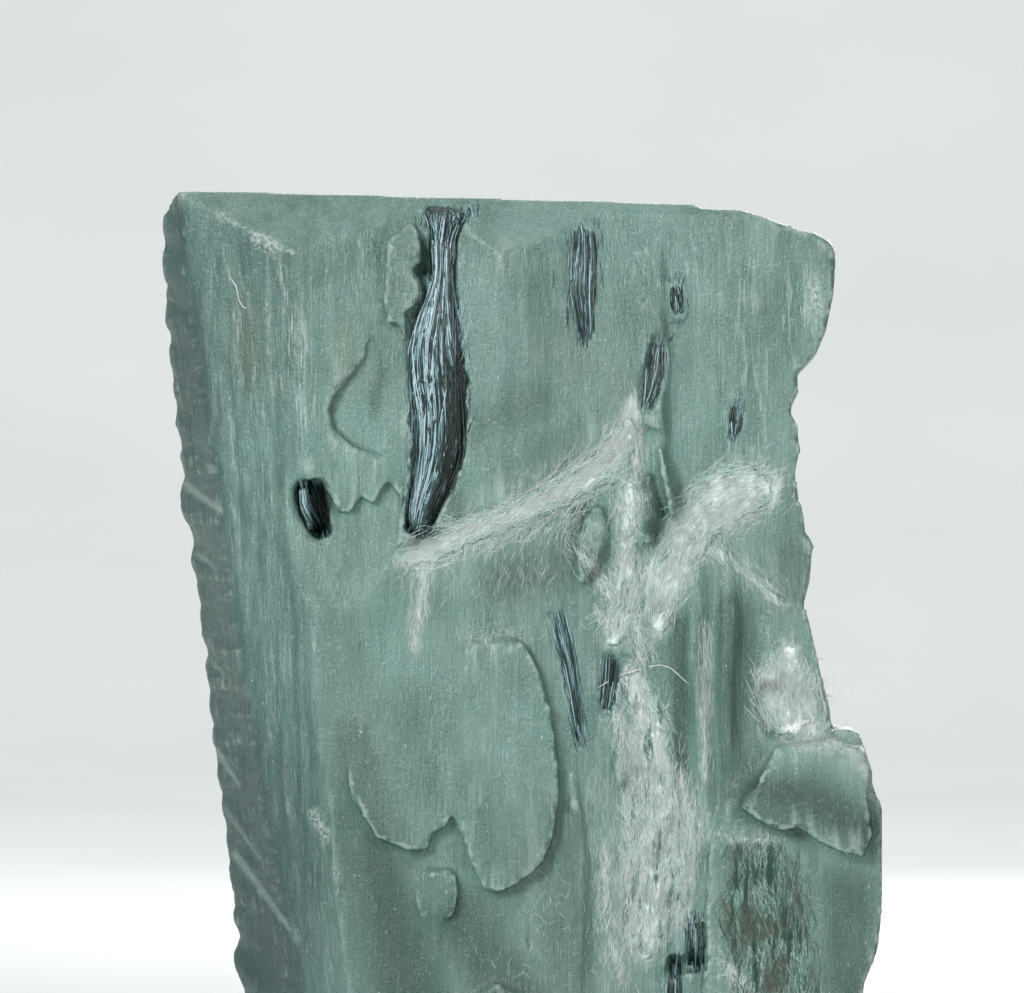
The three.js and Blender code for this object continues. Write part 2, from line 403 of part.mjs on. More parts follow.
function adularia() {
  let block = mainCrystal();
  for (const { outline, front, back, tilt } of [...RIGHT_PLATES, ...BACK_PLATES])
    block = block.add(plate(outline, front, back, tilt));
  for (const step of leftSteps()) block = block.add(step);

  block = block.add(plate(FLAKE, FACE - 0.5, FACE + 2, { pitch: -4, about: [-7, FACE, 53] }));
  block = block.subtract(plate(LEFT_HOLLOW, OUTSIDE, -11.7, { yaw: -6.5, about: [-11.3, -11.7, 50] }));
  block = block.subtract(plate(LOWER_LEFT_HOLLOW, OUTSIDE, -11.8, { pitch: -6, about: [-10, -11.8, 43.5] }));
  block = block.subtract(
    plate(SUNKEN_FRONT, OUTSIDE, SUNKEN_LEFT[1], { yaw: SUNKEN_YAW, about: [...SUNKEN_LEFT, 20] }),
  );
  for (const { outline, raise, yaw, pitch, at } of Object.values(LOW_LAYERS)) {
    const [x, z] = at;
    const front = sunkenFloor(x) - raise;
    block = block.add(plate(outline, front, front + raise + 1.5, { yaw, pitch, about: [x, front, z] }));
  }
  for (const [seed, fold] of Object.values(FOLDS).entries())
    block = block.add(streak(fold, sunkenFloor(8) + 1, { ribs: 2, depth: 0.02, seed }));

  block = block.add(plate(CORNER_CRYSTAL, -12.3, -1.5));
  block = block.add(plate(CORNER_SHELF, -HALF_DEPTH, -12));

  block = block.subtract(plate(BUNDLE_SIDE_HOLLOW, OUTSIDE, -10.4));
  block = block.subtract(plate(BUNDLE_NECK_HOLLOW, OUTSIDE, -10.9));
  for (const { stations, floor } of [...Object.values(BUNDLES), ...Object.values(FELTS)])
    block = block.subtract(slotFor(stations, floor));

  const left = [RIDGE.leftX, RIDGE.y, RIDGE.leftZ];
  const right = [RIDGE.rightX, RIDGE.y, RIDGE.rightZ];
  block = block.subtract(above(left, right, FRONT_STRIP_LOW));
  block = block.subtract(above(left, right, BACK_SLOPE_LOW));
  for (const { outline, drop } of TOP_TERRACES) {
    const column = new THREE.ExtrudeGeometry(
      new THREE.Shape(outline.map(([x, y]) => new THREE.Vector2(x, y))),
      { depth: 2 * HEIGHT, bevelEnabled: false },
    );
    const lowered = [left, right, BACK_SLOPE_LOW].map(([x, y, z]) => [x, y, z - drop]);
    block = block.subtract(solidOf(column).intersect(above(...lowered)));
  }

  const hull = new THREE.BoxGeometry(2 * HALF_WIDTH, 2 * HALF_DEPTH, HEIGHT);
  return block.intersect(solidOf(hull.translate(0, 0, HEIGHT / 2)));
}

// The pieces and their finishes

const adulariaFinish = new THREE.MeshStandardMaterial({ color: 0x78978f, roughness: 0.32, metalness: 0 });
const bundleFinish = new THREE.MeshStandardMaterial({ color: 0x2f4a47, roughness: 0.4, metalness: 0 });
const feltFinish = new THREE.MeshStandardMaterial({ color: 0xc8dcd7, roughness: 0.8, metalness: 0 });

const specimen = new THREE.Group();

function addPiece(name, geometry, finish) {
  const mesh = new THREE.Mesh(geometry, finish);
  mesh.name = name;
  specimen.add(mesh);
}

addPiece("adularia_crystal", geometryOf(adularia()), adulariaFinish);
Object.entries(BUNDLES).forEach(([name, { stations, floor, ribs, depth }], seed) => {
  addPiece(name, geometryOf(streak(stations, floor, { ribs, depth, seed })), bundleFinish);
});
Object.entries(FELTS).forEach(([name, { stations, floor, ribs, depth }], seed) => {
  addPiece(name, geometryOf(streak(stations, floor, { ribs, depth, seed: seed + 20 })), feltFinish);
});

export default specimen;
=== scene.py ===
import math

import bpy
import numpy as np
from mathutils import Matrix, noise
from mathutils.bvhtree import BVHTree


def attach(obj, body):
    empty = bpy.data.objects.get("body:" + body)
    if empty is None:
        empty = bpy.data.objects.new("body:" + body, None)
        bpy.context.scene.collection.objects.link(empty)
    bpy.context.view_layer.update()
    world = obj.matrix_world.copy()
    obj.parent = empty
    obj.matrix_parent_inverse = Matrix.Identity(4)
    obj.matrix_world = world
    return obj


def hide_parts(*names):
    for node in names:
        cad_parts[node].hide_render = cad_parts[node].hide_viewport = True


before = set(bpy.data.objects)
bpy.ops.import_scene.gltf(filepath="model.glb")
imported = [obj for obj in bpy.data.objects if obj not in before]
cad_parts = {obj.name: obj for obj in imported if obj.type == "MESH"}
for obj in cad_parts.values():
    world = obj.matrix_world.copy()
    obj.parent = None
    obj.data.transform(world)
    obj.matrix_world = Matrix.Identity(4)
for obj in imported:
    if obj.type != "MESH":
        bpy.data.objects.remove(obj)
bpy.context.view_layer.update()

MM = 0.001

# Camera: level, in front of the crystal's left part, far enough off for little perspective.
FRONT_PLANE = -12.4
VIEW_CENTRE = (-0.54, 43.59)
VIEW_WIDTH = 61.44
VIEW_DISTANCE = 600.0
SENSOR = 36.0

# Meshes
CRYSTAL_VOXEL = 0.18
CRYSTAL_TRIANGLES = 185000
PAD_VOXEL = 0.15
PLUG_SWELL = 0.45
BUNDLE_SAMPLES = 60
TUBE_SIDES = 3

# Depths, as minus y, between which strokes come in: those of the front and those of the left face's ledges.
FRONT_DEPTH = (4, 8)
LEDGE_DEPTH = (-14, -10)

# How far beside a bundle the adularia's face is looked up, and the level from which the ridge stays plain.
FACE_REACH = 0.9
RIDGE_LEVEL = 59.6

# The left side of the tuft in the pit, towards which its core is drawn in.
LEFT_TUFT_EDGE = -13.4


# Small tools

def choose_only(piece):
    """Deselects everything and makes one piece selected and active."""
    bpy.ops.object.select_all(action="DESELECT")
    piece.select_set(True)
    bpy.context.view_layer.objects.active = piece


def copy_of(node, name):
    """A merged copy of a CAD node's mesh, as a new piece."""
    piece = bpy.data.objects.new(name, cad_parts[node].data.copy())
    piece.data.materials.clear()
    bpy.context.collection.objects.link(piece)
    choose_only(piece)
    bpy.ops.object.mode_set(mode="EDIT")
    bpy.ops.mesh.select_all(action="SELECT")
    bpy.ops.mesh.remove_doubles(threshold=1e-6)
    bpy.ops.object.mode_set(mode="OBJECT")
    return piece


def apply(piece, kind, **settings):
    """Adds a modifier and applies it."""
    choose_only(piece)
    modifier = piece.modifiers.new(kind.lower(), kind)
    for key, value in settings.items():
        setattr(modifier, key, value)
    bpy.ops.object.modifier_apply(modifier=modifier.name)


def points_of(piece):
    """The mesh's points in millimetres."""
    flat = np.empty(len(piece.data.vertices) * 3)
    piece.data.vertices.foreach_get("co", flat)
    return flat.reshape(-1, 3) / MM


def normals_of(piece):
    """The outward direction at each point."""
    flat = np.empty(len(piece.data.vertices) * 3, dtype=np.float32)
    piece.data.vertex_normals.foreach_get("vector", flat)
    return flat.reshape(-1, 3).astype(float)


def move_points(piece, points):
    """Puts the mesh's points at the given places in millimetres."""
    piece.data.vertices.foreach_set("co", (points * MM).ravel())
    piece.data.update()


def write_mask(piece, name, values):
    """Keeps one number for each point, for the finish to read."""
    mask = piece.data.attributes.new(name, "FLOAT", "POINT")
    mask.data.foreach_set("value", np.asarray(values, dtype=np.float32))


def triangles_of(piece):
    """How many triangles the mesh has."""
    return sum(len(face.vertices) - 2 for face in piece.data.polygons)


def neighbour_mean(piece, values):
    """The mean of a value over each point's neighbours."""
    pairs = np.empty(len(piece.data.edges) * 2, dtype=np.int64)
    piece.data.edges.foreach_get("vertices", pairs)
    one, other = pairs[0::2], pairs[1::2]
    size = len(piece.data.vertices)
    count = np.bincount(one, minlength=size) + np.bincount(other, minlength=size)
    columns = [np.bincount(one, v[other], size) + np.bincount(other, v[one], size) for v in values.T]
    return np.stack(columns, axis=1) / np.maximum(count, 1)[:, None]


def relax(piece, weight, rounds):
    """Smooths the mesh where the weight is high."""
    points = points_of(piece)
    for _ in range(rounds):
        points += 0.9 * weight[:, None] * (neighbour_mean(piece, points) - points)
    move_points(piece, points)


def sharpness(piece, rounds=1):
    """How far each point stands out of its neighbours, in hundredths of a millimetre: above 0 on edges."""
    points, normals = points_of(piece), normals_of(piece)
    bend = 100 * ((points - neighbour_mean(piece, points)) * normals).sum(axis=1, keepdims=True)
    for _ in range(rounds):
        bend = 0.5 * bend + 0.5 * neighbour_mean(piece, bend)
    return bend[:, 0]


def rise(values, low, high):
    """0 below low, 1 above high and a smooth ramp between."""
    part = np.clip((values - low) / (high - low), 0, 1)
    return part * part * (3 - 2 * part)


def swirl(points, size, octaves=3, seed=0.0):
    """Fractal noise from about -1 to 1, with features of the given size in millimetres."""
    scaled = points / np.array(size, dtype=float) + seed
    return np.array([noise.fractal(place, 0.9, 2.0, octaves) for place in scaled.tolist()])


# Shader tools

def colour(code):
    """A linear colour from a six-digit code."""
    parts = [int(code[i:i + 2], 16) / 255 for i in (1, 3, 5)]
    return [p / 12.92 if p <= 0.04045 else ((p + 0.055) / 1.055) ** 2.4 for p in parts] + [1.0]


class Value:
    """A number socket that adds a Math node for each operator used on it."""

    def __init__(self, finish, socket):
        self.finish, self.socket = finish, socket

    def __add__(self, other): return self.finish.math("ADD", self, other)
    def __radd__(self, other): return self.finish.math("ADD", other, self)
    def __sub__(self, other): return self.finish.math("SUBTRACT", self, other)
    def __rsub__(self, other): return self.finish.math("SUBTRACT", other, self)
    def __mul__(self, other): return self.finish.math("MULTIPLY", self, other)
    def __rmul__(self, other): return self.finish.math("MULTIPLY", other, self)

    def rise(self, low, high):
        """0 below low, 1 above high and a smooth ramp between."""
        return self.finish.number("ShaderNodeMapRange", {"interpolation_type": "SMOOTHSTEP"},
                                  {"Value": self, "From Min": low, "From Max": high}, "Result")


class Finish:
    """A material that is built node by node."""

    def __init__(self, name):
        self.material = bpy.data.materials.new(name)
        self.material.use_nodes = True
        self.tree = self.material.node_tree
        self.tree.nodes.clear()
        self.output = self.node("ShaderNodeOutputMaterial")

    def node(self, kind, settings=None, sockets=None):
        """Adds a node: its settings first, then the values or links of its sockets."""
        node = self.tree.nodes.new(kind)
        for key, value in (settings or {}).items():
            if key == "stops":
                self.set_stops(node.color_ramp, value)
            else:
                setattr(node, key, value)
        for key, value in (sockets or {}).items():
            self.join(node.inputs[key], value)
        return node

    def set_stops(self, ramp, stops):
        while len(ramp.elements) < len(stops):
            ramp.elements.new(0.5)
        for element, (place, code) in zip(ramp.elements, stops):
            element.position, element.color = place, colour(code)

    def join(self, socket, value):
        """Links a socket, or sets it to a plain value."""
        if isinstance(value, Value):
            value = value.socket
        if isinstance(value, bpy.types.NodeSocket):
            self.tree.links.new(value, socket)
        else:
            socket.default_value = value

    def number(self, kind, settings, sockets, output):
        return Value(self, self.node(kind, settings, sockets).outputs[output])

    def math(self, operation, first, second):
        return self.number("ShaderNodeMath", {"operation": operation}, {0: first, 1: second}, "Value")

    def place(self):
        """Object coordinates in millimetres."""
        here = self.node("ShaderNodeTexCoord").outputs["Object"]
        return self.stretch(here, (1 / MM, 1 / MM, 1 / MM))

    def stretch(self, vector, factors):
        return self.node("ShaderNodeVectorMath", {"operation": "MULTIPLY"}, {0: vector, 1: factors}).outputs[0]

    def noise(self, vector, detail=4.0, roughness=0.5):
        """Noise from 0 to 1 with features about one unit wide."""
        return self.number("ShaderNodeTexNoise", {}, {
            "Vector": vector, "Scale": 1.0, "Detail": detail, "Roughness": roughness}, "Fac")

    def mask(self, name):
        return self.number("ShaderNodeAttribute", {"attribute_name": name}, {}, "Fac")

    def mix(self, share, below, above):
        """One colour laid over another."""
        node = self.node("ShaderNodeMix", {"data_type": "RGBA"}, {"Factor": share})
        for index, value in ((6, below), (7, above)):
            self.join(node.inputs[index], colour(value) if isinstance(value, str) else value)
        return node.outputs[2]

    def ramp(self, value, stops):
        return self.node("ShaderNodeValToRGB", {"stops": stops}, {"Fac": value}).outputs["Color"]

    def bump(self, height, depth):
        """A relief of the given depth in millimetres."""
        sockets = {"Height": height, "Distance": depth * MM, "Strength": 1.0}
        return self.node("ShaderNodeBump", {}, sockets).outputs["Normal"]

    def surface(self, **sockets):
        """Ends the material in one shader; underscores in the names stand for spaces."""
        shader = self.node("ShaderNodeBsdfPrincipled", {}, {k.replace("_", " "): v for k, v in sockets.items()})
        self.tree.links.new(shader.outputs["BSDF"], self.output.inputs["Surface"])
        return self.material

    def absorb(self, code, density):
        """Tints what is seen through the solid; density is per millimetre."""
        inside = self.node("ShaderNodeVolumeAbsorption", {}, {"Color": colour(code), "Density": density / MM})
        self.tree.links.new(inside.outputs["Volume"], self.output.inputs["Volume"])


# Finishes

def adularia_finish():
    """Milky grey-green feldspar: cloudy inside, finely striated upright, with cleavage lines across."""
    f = Finish("adularia")
    place = f.place()
    clouds = f.noise(f.stretch(place, (0.16, 0.16, 0.11)), detail=3, roughness=0.55)
    wisps = f.noise(f.stretch(place, (0.8, 0.8, 0.3)), detail=3, roughness=0.62)
    streaks = f.noise(f.stretch(place, (2.4, 2.4, 0.16)), detail=3, roughness=0.65)
    threads = f.noise(f.stretch(place, (8.0, 8.0, 0.5)), detail=2, roughness=0.6)
    cleavage = f.noise(f.stretch(place, (0.5, 0.5, 8.0)), detail=2, roughness=0.6)
    gate = f.noise(f.stretch(place, (0.9, 0.9, 0.5)), detail=1)
    grain = f.noise(f.stretch(place, (4.0, 4.0, 4.0)), detail=3, roughness=0.75)
    glints = f.noise(f.stretch(place, (9.0, 9.0, 3.0)), detail=0)
    fibres = f.noise(f.stretch(place, (6.0, 6.0, 1.6)), detail=3, roughness=0.7)
    zone, haze, deep, felted = f.mask("streaks"), f.mask("haze"), f.mask("deep"), f.mask("felted")
    warm, slate, frost, rim, cleft = f.mask("warm"), f.mask("slate"), f.mask("frost"), f.mask("rim"), f.mask("cleft")

    tone = f.mix(clouds.rise(0.3, 0.72), "#688f86", "#8ab4ab")
    tone = f.mix(wisps.rise(0.38, 0.7) * 0.5, tone, "#96bcb3")
    tone = f.mix(warm * 0.55, tone, "#8fa383")
    # Painted shade: concave creases are darkened to #44635a.
    tone = f.mix(cleft * 0.6, tone, "#44635a")
    tone = f.mix(streaks.rise(0.5, 0.66) * (0.15 + 0.5 * zone), tone, "#abc8c0")
    dark_lines = (1 - threads).rise(0.5, 0.62) * gate.rise(0.42, 0.62) * (0.22 + 0.4 * zone)
    tone = f.mix(dark_lines, tone, "#4d6e63")
    pale_lines = threads.rise(0.5, 0.6) * streaks.rise(0.45, 0.58) * (0.12 + 0.75 * zone)
    tone = f.mix(pale_lines, tone, "#dfeeea")
    tone = f.mix(cleavage.rise(0.58, 0.66) * gate.rise(0.54, 0.64) * 0.3, tone, "#b4cfc8")
    # Partly the adularia's own dark green, partly painted shade under the corner shelf, left of the lath and in
    # hollows.
    tone = f.mix(deep * (0.65 + 0.7 * clouds), tone, "#37564a")
    tone = f.mix(haze * (0.2 + 1.0 * fibres.rise(0.42, 0.66)), tone, "#c3d7d4")
    tone = f.mix(felted * (0.1 + 1.1 * fibres.rise(0.36, 0.6)), tone, "#dbeae6")
    # Painted shade: faces turned to the left are darkened to a slate tone, as they are lit less.
    tone = f.mix(slate * (0.65 + 0.5 * streaks), tone, "#43585c")
    # Painted highlight: convex edges are lightened, as thin translucent edges catch the light.
    tone = f.mix(rim * (0.2 + 0.9 * grain), tone, "#cfe3dd")
    tone = f.mix(f.mask("ledges") * (0.2 + 1.2 * grain), tone, "#b9d0ca")
    tone = f.mix(frost * grain.rise(0.4, 0.6), tone, "#e4eeea")
    tone = f.mix(glints.rise(0.82, 0.87) * 0.7, tone, "#eaf4f1")
    # Painted shade: the floor of the open slot beside the left tuft is painted near black.
    tone = f.mix(f.mask("pit"), tone, "#120e0a")

    height = threads * 0.5 + grain * 0.5
    f.absorb("#8fb8aa", 0.04)
    return f.surface(
        Base_Color=tone,
        Roughness=0.16 + 0.26 * grain + 0.2 * haze,
        IOR=1.52,
        Transmission_Weight=0.4,
        Normal=f.bump(height, 0.16))


def needle_finish():
    """Dark green amphibole needles, whose silky blue-grey shine is painted into the colour as pale strands."""
    f = Finish("byssolite_needles")
    place = f.place()
    shade = f.mask("shade")
    silk = f.noise(f.stretch(place, (9.0, 9.0, 0.7)), detail=4, roughness=0.6)
    # Painted highlight: the pale silver-blue end of the ramp and the silk streaks stand in for the needles' shine;
    # the dark end is their own green-black.
    tone = f.ramp(shade * 0.8 + silk * 0.4 - 0.1, [
        (0.0, "#0c1a19"), (0.3, "#1e3a37"), (0.44, "#4f726f"), (0.6, "#a6cdd6"), (1.0, "#e4f8ff")])
    return f.surface(
        Base_Color=tone,
        Roughness=0.24 + 0.2 * silk,
        IOR=1.63,
        Specular_IOR_Level=0.6,
        Normal=f.bump(silk, 0.05))


def felt_finish():
    """Matted whitish amphibole fibres, stained yellow-brown here and there."""
    f = Finish("byssolite_felt")
    place = f.place()
    shade, stain = f.mask("shade"), f.mask("stain")
    tufts = f.noise(f.stretch(place, (1.5, 1.5, 0.9)), detail=3, roughness=0.65)
    threads = f.noise(f.stretch(place, (8.0, 8.0, 1.4)), detail=3, roughness=0.65)
    gaps = f.noise(f.stretch(place, (2.4, 2.4, 0.3)), detail=3, roughness=0.6)
    open_here = f.mask("upright") * (1 - gaps.rise(0.34, 0.5))
    tone = f.ramp(shade * 0.5 + tufts * 0.3 + threads * 0.5 - 0.02 - open_here * 0.42, [
        (0.0, "#46665c"), (0.2, "#8ab1a6"), (0.36, "#d6efe8"), (1.0, "#ffffff")])
    tone = f.mix(f.mask("fade") * (0.55 + 0.9 * threads), tone, "#7fa79d")
    tone = f.mix(stain * tufts.rise(0.25, 0.6), tone, "#667060")
    return f.surface(Base_Color=tone, Roughness=0.5, Specular_IOR_Level=0.3)


# Adularia

# Strokes over the front: each is a path of x, z and reach, with a strength.
STROKES = {
    "haze": [
        (0.9, [(-5.8, 40.0, 1.2), (-6.0, 37.5, 0.9), (-6.3, 34.5, 0.6)]),
        (0.2, [(-4.0, 38.8, 2.2), (-0.5, 38.6, 3.0), (3.4, 40.0, 2.8)]),
        (0.12, [(-3.5, 34.5, 3.0), (2.0, 34.5, 3.0), (5.0, 36.0, 2.0)]),
        (0.15, [(-1.5, 28.0, 3.4), (2.5, 22.0, 4.0), (1.0, 14.0, 4.5)]),
        (0.55, [(4.5, 27.0, 1.4), (5.0, 20.0, 1.6), (6.0, 13.0, 1.8)]),
        (0.7, [(11.0, 35.0, 0.8), (11.1, 29.0, 0.7), (11.0, 23.0, 0.8)]),
        (0.45, [(12.4, 40.0, 2.4), (15.0, 38.6, 2.0), (16.2, 36.6, 1.2)]),
        (0.5, [(-2.5, 43.0, 1.4), (2.5, 45.4, 1.6), (6.0, 48.2, 1.2)]),
        (0.5, [(17.8, 28.8, 1.4), (20.4, 28.0, 1.6)]),
        (0.5, [(11.5, 11.0, 3.0), (16.0, 11.0, 2.6)]),
    ],
    # Darker strokes: partly the adularia's own dark green, partly painted shade under the corner shelf, left of the
    # lath and in hollows.
    "deep": [
        (0.9, [(7.7, 44.4, 0.9), (8.0, 42.8, 1.3), (7.9, 41.4, 0.8)]),
        (0.8, [(3.6, 43.0, 0.9), (3.0, 40.5, 0.8)]),
        (0.8, [(9.5, 36.0, 0.8), (9.6, 31.0, 0.9), (9.6, 25.5, 0.8)]),
        (0.8, [(14.6, 26.0, 1.8), (17.4, 25.4, 2.6), (20.4, 23.6, 2.2)]),
        (0.6, [(13.5, 24.8, 1.4), (17.0, 23.6, 1.4)]),
        (0.55, [(19.5, 19.5, 2.6), (20.0, 13.0, 2.6)]),
        (0.5, [(12.8, 36.8, 1.6), (13.4, 33.0, 2.2), (13.4, 28.0, 2.0)]),
        (0.45, [(16.4, 40.5, 1.6), (16.0, 37.6, 1.4)]),
        (0.35, [(-0.5, 44.8, 2.0), (3.0, 46.6, 2.2)]),
        (0.5, [(2.4, 24.0, 2.0), (2.8, 15.0, 3.0)]),
        (0.25, [(-6.6, 31.0, 2.4), (-7.0, 26.0, 2.4)]),
        (0.3, [(-11.0, 36.0, 2.4), (-10.0, 28.0, 4.2), (-7.6, 16.0, 5.6), (-5.0, 4.0, 6.0)]),
        (0.55, [(-10.2, 29.5, 2.2), (-9.0, 23.0, 4.0), (-7.0, 14.0, 5.0), (-5.0, 4.0, 5.4)]),
        (0.75, [(-8.8, 23.0, 2.0), (-6.8, 14.0, 4.0), (-5.0, 4.0, 5.0)]),
        (0.7, [(-1.0, 38.6, 2.6), (3.4, 39.6, 2.4)]),
        (0.7, [(-3.5, 18.0, 3.0), (0.0, 13.0, 3.6), (0.0, 4.0, 4.0)]),
        (0.4, [(-3.0, 47.6, 1.6), (1.0, 49.4, 1.8)]),
        (0.6, [(12.6, 37.0, 1.6), (12.8, 31.0, 1.8), (13.0, 26.0, 1.8)]),
        (0.6, [(19.6, 20.0, 2.6), (20.0, 8.0, 2.8)]),
        (0.5, [(14.6, 20.0, 2.6), (15.0, 10.0, 2.8)]),
        (0.6, [(-6.2, 58.6, 0.5), (-5.9, 55.6, 0.6), (-6.4, 52.8, 0.4)]),
        (0.55, [(-4.6, 44.6, 1.1), (-3.6, 42.4, 1.0)]),
        (0.5, [(-8.9, 48.8, 0.7), (-8.4, 51.4, 0.6)]),
    ],
    "streaks": [
        (1.0, [(-14.8, 56.6, 1.8), (-14.0, 52.4, 2.2), (-13.4, 48.6, 1.8)]),
        (0.5, [(-17.6, 57.0, 2.4), (-16.6, 46.0, 3.0), (-14.6, 32.0, 3.2), (-13.0, 16.0, 3.4)]),
        (0.6, [(8.2, 57.4, 2.4), (12.4, 57.0, 3.0), (16.4, 55.0, 2.6)]),
        (0.4, [(-9.8, 58.6, 2.4), (-7.4, 56.4, 2.0)]),
        (0.5, [(13.0, 52.0, 3.0), (13.6, 47.0, 2.2)]),
    ],
    "warm": [
        (0.8, [(-16.7, 54.6, 1.4), (-16.4, 51.4, 1.4)]),
        (0.7, [(-10.6, 53.4, 1.3), (-10.2, 50.6, 1.2)]),
        (0.5, [(-2.4, 33.0, 1.2), (-1.6, 31.8, 1.0)]),
        (0.5, [(0.8, 22.4, 1.4), (-0.2, 21.0, 1.2)]),
        (0.6, [(13.0, 19.6, 2.4), (13.4, 14.0, 2.4)]),
        (0.4, [(2.6, 52.0, 2.6), (6.0, 50.0, 2.4)]),
    ],
    # Painted shade on the floor of the open slot beside the left tuft.
    "pit": [
        (1.0, [(-12.1, 44.1, 0.8), (-11.9, 43.0, 0.9), (-11.8, 41.8, 0.6)]),
    ],
    "frost": [
        (0.9, [(-15.8, 59.0, 0.7), (-14.9, 58.7, 0.8)]),
        (0.7, [(-18.0, 60.6, 0.6)] * 2),
        (0.8, [(17.6, 56.6, 0.7), (17.9, 54.6, 0.6)]),
        (0.7, [(18.2, 28.8, 0.9), (20.2, 28.2, 0.8), (21.2, 25.6, 0.5)]),
        (1.0, [(-12.5, 24.5, 0.55), (-11.7, 23.3, 0.4)]),
        (0.9, [(-11.1, 21.0, 0.4)] * 2),
    ],
    "ledges": [
        (1.0, [(-20.4, 44.3, 0.4), (-18.1, 42.7, 0.25)]),
        (0.8, [(-19.7, 40.1, 0.3), (-18.4, 39.2, 0.2)]),
        (0.8, [(-18.7, 28.2, 0.35), (-17.2, 26.2, 0.2)]),
        (0.7, [(-17.4, 21.8, 0.4), (-13.4, 16.9, 0.2)]),
        (0.5, [(-19.3, 34.0, 0.25), (-17.6, 32.4, 0.15)]),
        (0.5, [(-18.1, 24.6, 0.25), (-15.6, 21.4, 0.15)]),
    ],
}


# Paths along which a growth plate's edge has grown in and doesn't show.
GROWN_IN = [
    [(-10.6, 36.0, 1.2), (-10.0, 30.0, 1.2), (-9.2, 26.2, 0.9)],
    [(-4.0, 34.6, 0.8), (-4.3, 31.0, 0.9), (-4.2, 26.5, 0.7)],
    [(-3.0, 35.4, 0.8), (-0.4, 35.3, 0.6)],
    [(-6.2, 20.8, 0.8), (-5.0, 18.2, 0.8)],
    [(3.2, 24.0, 0.8), (3.6, 18.0, 0.9), (3.6, 13.0, 0.9)],
    [(-9.8, 54.4, 0.6), (-8.6, 53.2, 0.6)],
    [(10.8, 41.0, 1.6), (10.9, 33.0, 1.7), (11.2, 24.6, 1.6)],
    [(12.6, 40.0, 1.4), (12.9, 33.0, 1.6), (12.9, 26.0, 1.5)],
    [(7.9, 44.2, 0.9), (8.0, 41.8, 0.9)],
    [(16.4, 33.4, 1.4), (16.6, 31.4, 1.9), (17.0, 30.0, 1.6)],
]


def stroke(points, path, depth=FRONT_DEPTH):
    """1 along a path on the front and 0 beyond its reach and behind the depth."""
    flat = points[:, [0, 2]]
    result = np.zeros(len(points))
    for (ax, az, reach_a), (bx, bz, reach_b) in zip(path, path[1:]):
        start, run = np.array([ax, az]), np.array([bx - ax, bz - az])
        part = np.clip((flat - start) @ run / max(run @ run, 1e-9), 0, 1)
        gap = np.linalg.norm(flat - start - part[:, None] * run, axis=1)
        result = np.maximum(result, rise(1 - gap / (reach_a + part * (reach_b - reach_a)), 0, 0.8))
    return result * rise(-points[:, 1], *depth)


# Byssolite

